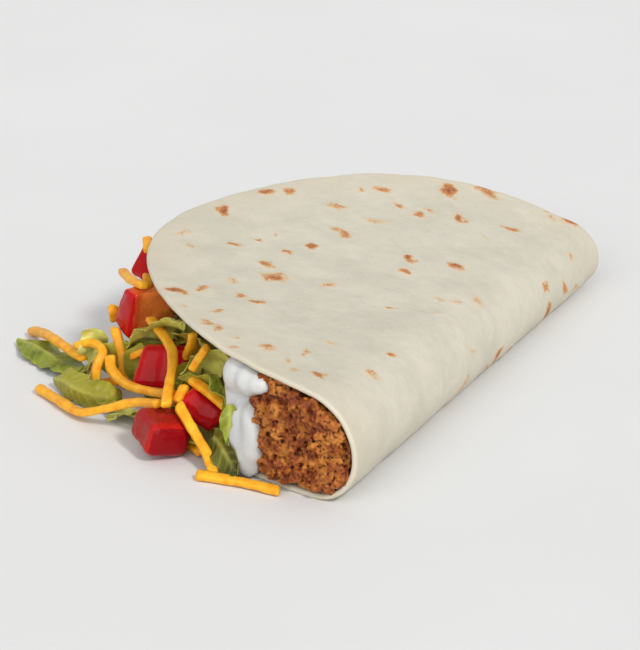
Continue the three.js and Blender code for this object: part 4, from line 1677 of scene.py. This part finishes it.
    def strip(self, x: float, inwards: float, stand: float, random: np.random.Generator) -> Shape:
        """One strip on the slope.

        Args:
            x: its station.
            inwards: how far in from the foot its middle lies.
            stand: how far it stands off the slope.
            random: source of its form.

        Returns:
            The strip.
        """
        y = float(self.foot(np.array(x))) + inwards
        z = float(self.height(np.array(x), np.array(inwards)))
        ahead = float(self.height(np.array(x), np.array(inwards + 1.0)))
        climb = unit(np.array([0, 1, max(ahead - z, 0.1)]))
        out = np.cross((1, 0, 0), climb)
        angle = random.normal(0, self.strip_turn)
        along = np.array([1.0, 0, 0]) * math.cos(angle) + climb * math.sin(angle)
        beside = np.cross(out, along)
        length = random.uniform(*self.strip_lengths)
        knots = []
        for share in self.strip_knots:
            knot = (x, y, z) + along * length * share + beside * random.normal(0, self.strip_wander)
            knot = knot + out * random.uniform(0.1, stand)
            knot[0] = np.clip(knot[0], self.last_stations[1] + 2, self.last_stations[0] - 2)
            highest = float(self.roof(*knot[:2])) - self.strip_roof_gap
            knot[2] = np.clip(knot[2], self.strip_lowest, highest)
            knots.append(tuple(knot))
        tilt = random.normal(0, self.strip_tilt)
        leaf = LettuceLeaf(
            path=knots,
            width=random.uniform(*self.strip_widths),
            across=tuple(beside * math.cos(tilt) + out * math.sin(tilt)),
            curl=random.uniform(*self.strip_curls),
            ruffle=random.uniform(*self.strip_ruffles),
            ends=tuple(random.uniform(*limits) for limits in self.strip_ends),
            step=0.9,
            columns=9,
            seed=int(random.integers(1000)),
            waves=random.uniform(*self.strip_waves),
        )
        shape = leaf.shape()
        shape.values["tone"] = shape.values["tone"] + random.uniform(*self.strip_tones)
        return shape

    def build(self) -> None:
        """Makes the heap as one piece."""
        random = np.random.default_rng(self.seed)
        front, back = self.last_stations
        stand, end_stand, front_stand = self.stands
        shapes = [self.core()]
        for i in range(self.strips):
            x = lerp(self.front_from, back + 3, (i + random.random()) / self.strips)
            shapes.append(self.strip(x, random.uniform(*self.strip_depths), stand, random))
        for _ in range(self.end_strips):
            x = back + random.uniform(1.5, 6)
            shapes.append(self.strip(x, random.uniform(*self.end_depths), end_stand, random))
        for i in range(self.front_strips):
            x = lerp(self.front_from, front - 6, (i + random.random()) / self.front_strips)
            strip = self.strip(x, random.uniform(*self.front_depths), front_stand, random)
            gaps = [np.linalg.norm(strip.points - die.centre, axis=1).min() for die in DICE]
            if min(gaps) > self.die_room:
                shapes.append(strip)
        for number, leaf in enumerate(LOOSE_LEAVES, FIRST_LOOSE_LEAF):
            leaf.seed = number
            shapes.append(leaf.shape())
        thing = Shape.joined(shapes).piece("lettuce_strips", LettuceFinish(Green.YELLOW).material())
        settle(thing, "lettuce", "shredded_lettuce")


# ---- Tomato ---------------------------------------------------------------------------------


@dataclass
class TomatoDie:
    """A die cut from a tomato, with skin on the side that it faces."""

    centre: Triple
    size: Triple
    facing: Triple
    edge: Triple
    taper: float = 0.08
    lean: float = 0.0
    rounding: float = 1.1
    bulge: float = 0.6
    skin_depth: float = 0.55
    skin_fade: float = 0.12
    flesh_from: float = 3.2
    flesh_glow: float = 0.8
    cuts: int = 27
    seed: int = 0
    # How far the die's flesh and skin are darkened towards deep red: partly tone, partly painted shade;
    # none at all is painted light.
    deep_red_and_painted_shade: float = 0.4
    relief: Layers = ((0.28, 3.4, 51),)
    cut_depths: Range = (0.3, 1.2)
    cut_relief: Layers = ((0.14, 1.3, 52),)
    skin_edge: Layers = ((0.12, 1.2, 53),)
    finish: TomatoFinish = TomatoFinish()

    def shape(self) -> Shape:
        """The die with its skin values.

        Returns:
            The closed die.
        """
        cube = bmesh.new()
        bmesh.ops.create_cube(cube, size=1)
        bmesh.ops.subdivide_edges(cube, edges=cube.edges[:], cuts=self.cuts, use_grid_fill=True)
        local = np.array([vertex.co[:] for vertex in cube.verts])
        cube.verts.index_update()
        faces = [tuple(vertex.index for vertex in face.verts) for face in cube.faces]
        cube.free()
        size = np.array(self.size)
        spread = 0.5 * np.sin(math.pi * local) * size
        heart = np.clip(spread, self.rounding - size / 2, size / 2 - self.rounding)
        solid = heart + unit(spread - heart) * self.rounding
        a, b, c = (solid / size).T
        depth = size[2] / 2 - solid[:, 2]
        where = solid + self.seed * 13.7
        cut = smoothstep(depth, *self.cut_depths)
        rough = layered(where, self.relief) + cut * layered(where, self.cut_relief)
        crown = np.where(c > 0, self.bulge * (1 - 4 * a * a) * (1 - 4 * b * b), 0)
        sideways = a * size[0] * (1 - self.taper * (b + 0.6 * c)) + self.lean * b * size[1]
        local = np.stack([sideways, b * size[1] * (1 + 0.5 * self.taper * a), c * size[2] + crown], -1)
        local = local + unit(spread - heart) * rough[:, None]
        out = unit(np.array(self.facing, float))
        along = np.array(self.edge, float)
        along = unit(along - out * (out @ along))
        basis = np.stack([along, np.cross(out, along), out])
        points = local @ basis + np.array(self.centre)
        edge = depth + layered(where, self.skin_edge)
        limits = (self.skin_depth - self.skin_fade, self.skin_depth + self.skin_fade)
        values = {
            "skin": 1 - smoothstep(edge, *limits),
            "near_skin": self.flesh_glow * (1 - smoothstep(edge, self.skin_depth, self.flesh_from)),
            "deep_red_and_painted_shade": np.full(len(points), self.deep_red_and_painted_shade),
        }
        return Shape(points, faces, values).facing_out()

    def build(self, number: int) -> None:
        """Makes the die as a piece of its own.

        Args:
            number: its number, which also seeds its form.
        """
        self.seed = number
        thing = self.shape().piece(f"tomato_{number:02d}", self.finish.material())
        settle(thing, "tomato", f"tomato_dice_{number:02d}")


DICE = (
    TomatoDie((-0.1, -44.2, 19.8), (8, 9, 7), (0.84, -0.23, 0.51), (0.35, 0.93, -0.15)),
    # No darkening on this die under the flap: painted light.
    TomatoDie((23.4, -35.8, 18.4), (7.5, 12.2, 11), (0.79, -0.61, -0.02), (0.59, 0.77, -0.25),
              taper=0.34, lean=0.2, deep_red_and_painted_shade=0.0),
    TomatoDie((35.5, -25, 9), (13.6, 10.5, 7.5), (0.9, 0.15, 0.4), (-0.36, 0.93, -0.1), taper=0.3,
              rounding=1.6),
    TomatoDie((52.8, -8.4, 8.2), (10, 6.4, 8.5), (0.9, 0.33, 0.25), (-0.08, 0.82, -0.57),
              taper=0.04, lean=0.23),
    # Full darkening on this die: painted shade.
    TomatoDie((62.2, -14, 5.4), (10.3, 7.6, 11), (0.69, 0.7, -0.15), (-0.72, 0.67, -0.2),
              rounding=1.9, deep_red_and_painted_shade=1.0),
    TomatoDie((-18, -37, 16.5), (11, 9, 9), (0.1, -0.95, 0.3), (1, 0.1, 0.2)),
    TomatoDie((-40, -22, 13), (10, 9, 9), (-0.4, -0.9, 0.2), (0.9, -0.4, 0.1)),
    TomatoDie((-55, -5, 8), (9, 7, 9), (-0.7, -0.7, 0.1), (0.7, -0.7, 0.2)),
)


# ---- Cheese ---------------------------------------------------------------------------------


@dataclass
class CheeseShred:
    """A shred of cheddar along a path."""

    path: Sequence[Triple]
    half_width: float = 1.15
    half_thickness: float = 0.9
    step: float = 0.45
    around: int = 20
    squareness: float = 0.62
    hanging: float = 0.4
    end_length: float = 0.5
    end_size: float = 0.72
    slant: float = 0.5
    slant_reach: float = 2.0
    lowest: float = 0.12
    seed: int = 0
    first_seed: int = 100
    width_drift: Layers = ((0.14, 5, 61),)
    thickness_drift: Layers = ((0.14, 4, 62),)
    twist: Layers = ((0.35, 14, 63),)
    roughness: Layers = ((0.06, 0.9, 64), (0.07, 2.2, 65))
    finish: CheeseFinish = CheeseFinish()

    def section(self, way: np.ndarray, length: float) -> tuple[np.ndarray, np.ndarray]:
        """The squarish section at each ring, smaller at the ends and twisted along the way.

        Args:
            way: distances along the path.
            length: length of the path.

        Returns:
            Distances sideways and upwards from the path, by ring and by place in the ring.
        """
        to_end = np.clip(np.minimum(way, length - way) / self.end_length, 0, 1)
        taper = lerp(self.end_size, 1, np.sqrt(to_end * (2 - to_end)))
        drift = np.stack(np.broadcast_arrays(way, 0, self.seed * 5.3), -1)
        width = self.half_width * taper * (1 + layered(drift, self.width_drift))
        thick = self.half_thickness * taper * (1 + layered(drift, self.thickness_drift))
        angle = np.linspace(0, 2 * math.pi, self.around, endpoint=False)[None]
        squared = [np.sign(f(angle)) * np.abs(f(angle)) ** self.squareness for f in (np.cos, np.sin)]
        wide = width[:, None] * squared[0]
        high = thick[:, None] * squared[1]
        turn = layered(drift, self.twist)[:, None]
        return wide * np.cos(turn) - high * np.sin(turn), wide * np.sin(turn) + high * np.cos(turn)

    def shape(self) -> Shape:
        """The shred with its uneven sides and slanting ends.

        Returns:
            The closed shred.
        """
        path = Path(self.path)
        run = np.subtract(self.path[-1], self.path[0])[:2]
        hangs = float(np.linalg.norm(run)) < self.hanging * path.length
        sideways = ACROSS_VIEW if hangs else (-run[1], run[0], 0)
        share = np.linspace(0, 1, max(8, round(path.length / self.step)))
        centre, side, heading = path.frame(share, sideways)
        top = np.cross(side, heading)
        way = share * path.length
        wide, high = self.section(way, path.length)
        rings = centre[:, None] + side[:, None] * wide[..., None] + top[:, None] * high[..., None]
        random = np.random.default_rng(self.first_seed + self.seed)
        slants = random.uniform(-self.slant, self.slant, (2, 2))
        for place, slant in zip((0, -1), slants):
            fade = np.clip(1 - np.abs(way - way[place]) / self.slant_reach, 0, 1)[:, None]
            push = fade * (slant[0] * wide + slant[1] * high)
            rings += heading[:, None] * push[..., None]
        outward = unit(rings - centre[:, None])
        rings = rings + outward * layered(rings, self.roughness)[..., None]
        rings[..., 2] = np.maximum(rings[..., 2], self.lowest)
        return loft(rings, {})

    def build(self, number: int) -> None:
        """Makes the shred as a piece of its own.

        Args:
            number: its number, which also seeds its form.
        """
        self.seed = number
        thing = self.shape().piece(f"cheddar_{number:02d}", self.finish.material())
        settle(thing, "cheese", f"cheese_shred_{number:02d}")


SHREDS = (
    ((5, -75, 1.2), (12, -68.5, 3.8), (19.5, -61.5, 5.6), (25.5, -54.5, 6), (28, -50, 5.6)),
    ((38.5, -56.5, 1.2), (45, -47.5, 1.5), (50.5, -40, 2), (53.5, -32, 5), (55, -24.5, 8),
     (59.6, -15.6, 10.6)),
    ((32.5, -41, 9), (35, -39.5, 7), (40.5, -34, 6.5), (47, -26, 8), (51, -19, 9.6), (54, -14.5, 11)),
    ((27.5, -42, 14), (28.5, -40, 8.5), (29, -39, 2)),
    ((28.5, -51.6, 8.6), (28.9, -47.4, 10), (31.3, -43.4, 9.3), (34, -43.8, 6), (35, -43.5, 2)),
    ((31.5, -31, 19), (35, -27, 17.6), (41.5, -21.2, 16.6), (48, -17.8, 15), (54.5, -15.6, 13.6),
     (59.5, -13.8, 12.8), (63, -12.4, 11.9)),
    ((42, -15.5, 21), (41.5, -16.2, 18), (39, -18.5, 14)),
    ((54.5, -6.3, 23.2), (54.5, -8.1, 20.6), (54.5, -10.2, 17.4)),
    ((14.5, -46, 22.7), (24.5, -38.4, 24.6), (28.5, -33.5, 25.4)),
    ((3, -45, 27), (9, -42, 26.5)),
    ((53.5, -11, 14.9), (56.3, -5.8, 13.9), (58.5, -0.3, 11.6)),
    ((60.5, -10.7, 11.3), (62, -8.6, 9.8), (63.3, -6.8, 8.4), (65, -3.8, 5.8), (67.5, -0.5, 3.3),
     (71.5, 2.4, 1.5)),
    ((73, -1, 1.2), (73, 5, 1.2), (73.6, 12, 1.2), (75, 19.5, 1.2)),
    ((57.6, -9.5, 1.5), (61.5, -5, 1.4)),
    ((58.8, -12, 11.2), (54.3, -11.8, 13.6)),
    ((23, -44.5, 17), (21.5, -45, 13.5)),
    ((31, -36, 9), (31, -32.5, 11)),
    ((32, -43.5, 2), (32, -39, 3)),
    ((21.6, -36.3, 25.1), (25.3, -34.5, 24)),
    ((-8, -42, 22), (-15, -41, 23.5), (-22, -37, 22)),
    ((-28, -31, 8), (-27, -33, 14), (-31, -30, 20)),
    ((-33, -28, 5), (-40, -25, 6.5), (-47, -19, 7)),
    ((-46, -15, 17), (-50, -9, 15.5), (-54, -5, 13)),
)


# ---- Studio ---------------------------------------------------------------------------------


@dataclass
class Studio:
    """A plain pale floor, soft light and the camera at the photographed angle."""

    floor_colour: Colour = (0.715, 0.712, 0.70)
    floor_light: Colour = (0.735, 0.732, 0.72)
    floor_size: float = 6000.0
    key_from: Triple = (0.46, 0.61, 0.65)
    key_strength: float = 1.75
    key_spread: float = math.radians(9)
    fill_from: Triple = (0.88, 0.08, 0.38)
    fill_strength: float = 1.3
    fill_spread: float = math.radians(60)
    sky_colour: Colour = (0.97, 0.98, 1.0)
    sky_strength: float = 0.6
    target: Triple = (0, 38, 0)
    bearing: float = math.radians(69.06)
    elevation: float = math.radians(21)
    pixels: tuple[int, int] = (640, 650)
    target_pixel: Range = (487.05, 389.48)
    pixel_size: float = 0.2272
    focal_pixels: float = 4000.0
    sensor: float = 36.0
    clip_end: float = 100.0

    def floor(self) -> None:
        """Makes the floor."""
        half = self.floor_size / 2
        corners = np.array([(-half, -half, 0), (half, -half, 0), (half, half, 0), (-half, half, 0)], float)
        nodes = Nodes("studio_floor")
        paper = nodes.ramp(nodes.noise(60, 3), (0.3, self.floor_colour), (0.7, self.floor_light))
        material = nodes.finish(Base_Color=paper, Roughness=0.8, Normal=nodes.bump(nodes.noise(2, 3), 0.05))
        Shape(corners, [(0, 1, 2, 3)]).piece("studio_floor", material)

    def sun(self, name: str, source: Triple, strength: float, spread: float) -> None:
        """Makes one far light.

        Args:
            name: its name.
            source: where it shines from.
            strength: how strong it is.
            spread: how wide it looks, as an angle.
        """
        light = bpy.data.lights.new(name, "SUN")
        light.energy = strength
        light.angle = spread
        lamp = bpy.data.objects.new(name, light)
        lamp.rotation_euler = Vector(source).to_track_quat("Z", "Y").to_euler()
        bpy.context.scene.collection.objects.link(lamp)

    def lights(self) -> None:
        """Makes the key light, the soft fill and the light all round."""
        self.sun("key_light", self.key_from, self.key_strength, self.key_spread)
        self.sun("fill_light", self.fill_from, self.fill_strength, self.fill_spread)
        world = bpy.data.worlds.new("soft_room")
        bpy.context.scene.world = world
        world.use_nodes = True
        background = world.node_tree.nodes["Background"]
        background.inputs["Color"].default_value = (*self.sky_colour, 1)
        background.inputs["Strength"].default_value = self.sky_strength

    def camera(self) -> None:
        """Places the camera where the photograph was taken from."""
        flat = math.cos(self.elevation)
        towards = Vector((math.sin(self.bearing) * flat, math.cos(self.bearing) * flat,
                          math.sin(self.elevation)))
        upright = towards.to_track_quat("Z", "Y")
        right = upright @ Vector((1, 0, 0))
        up = upright @ Vector((0, 1, 0))
        off_x = self.target_pixel[0] - self.pixels[0] / 2
        off_y = self.target_pixel[1] - self.pixels[1] / 2
        aim = -self.focal_pixels * towards - off_x * right + off_y * up
        turn = (-towards).rotation_difference(aim.normalized())
        data = bpy.data.cameras.new("camera")
        data.sensor_width = self.sensor
        data.lens = self.sensor * self.focal_pixels / max(self.pixels)
        data.clip_end = self.clip_end
        camera = bpy.data.objects.new("camera", data)
        place = Vector(self.target) + towards * self.focal_pixels * self.pixel_size
        camera.matrix_world = Matrix.Translation(place * MM) @ (turn @ upright).to_matrix().to_4x4()
        bpy.context.scene.collection.objects.link(camera)
        bpy.context.scene.camera = camera

    def build(self) -> None:
        """Sets up the studio."""
        bpy.context.scene.view_settings.view_transform = "Standard"
        self.floor()
        self.lights()
        self.camera()


def main() -> None:
    """Builds the studio and every piece of the taco."""
    logging.basicConfig(level=logging.INFO, format="%(message)s")
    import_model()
    Studio().build()
    wrap = Wrap()
    for part in (Tortilla(wrap), GroundBeef(wrap), SourCream(wrap), LettuceHeap(wrap)):
        part.build()
    for number, leaf in enumerate(LEAVES, 1):
        leaf.build(number)
    for number, die in enumerate(DICE, 1):
        die.build(number)
    for number, path in enumerate(SHREDS, 1):
        CheeseShred(path).build(number)


if __name__ == "__main__":
    main()
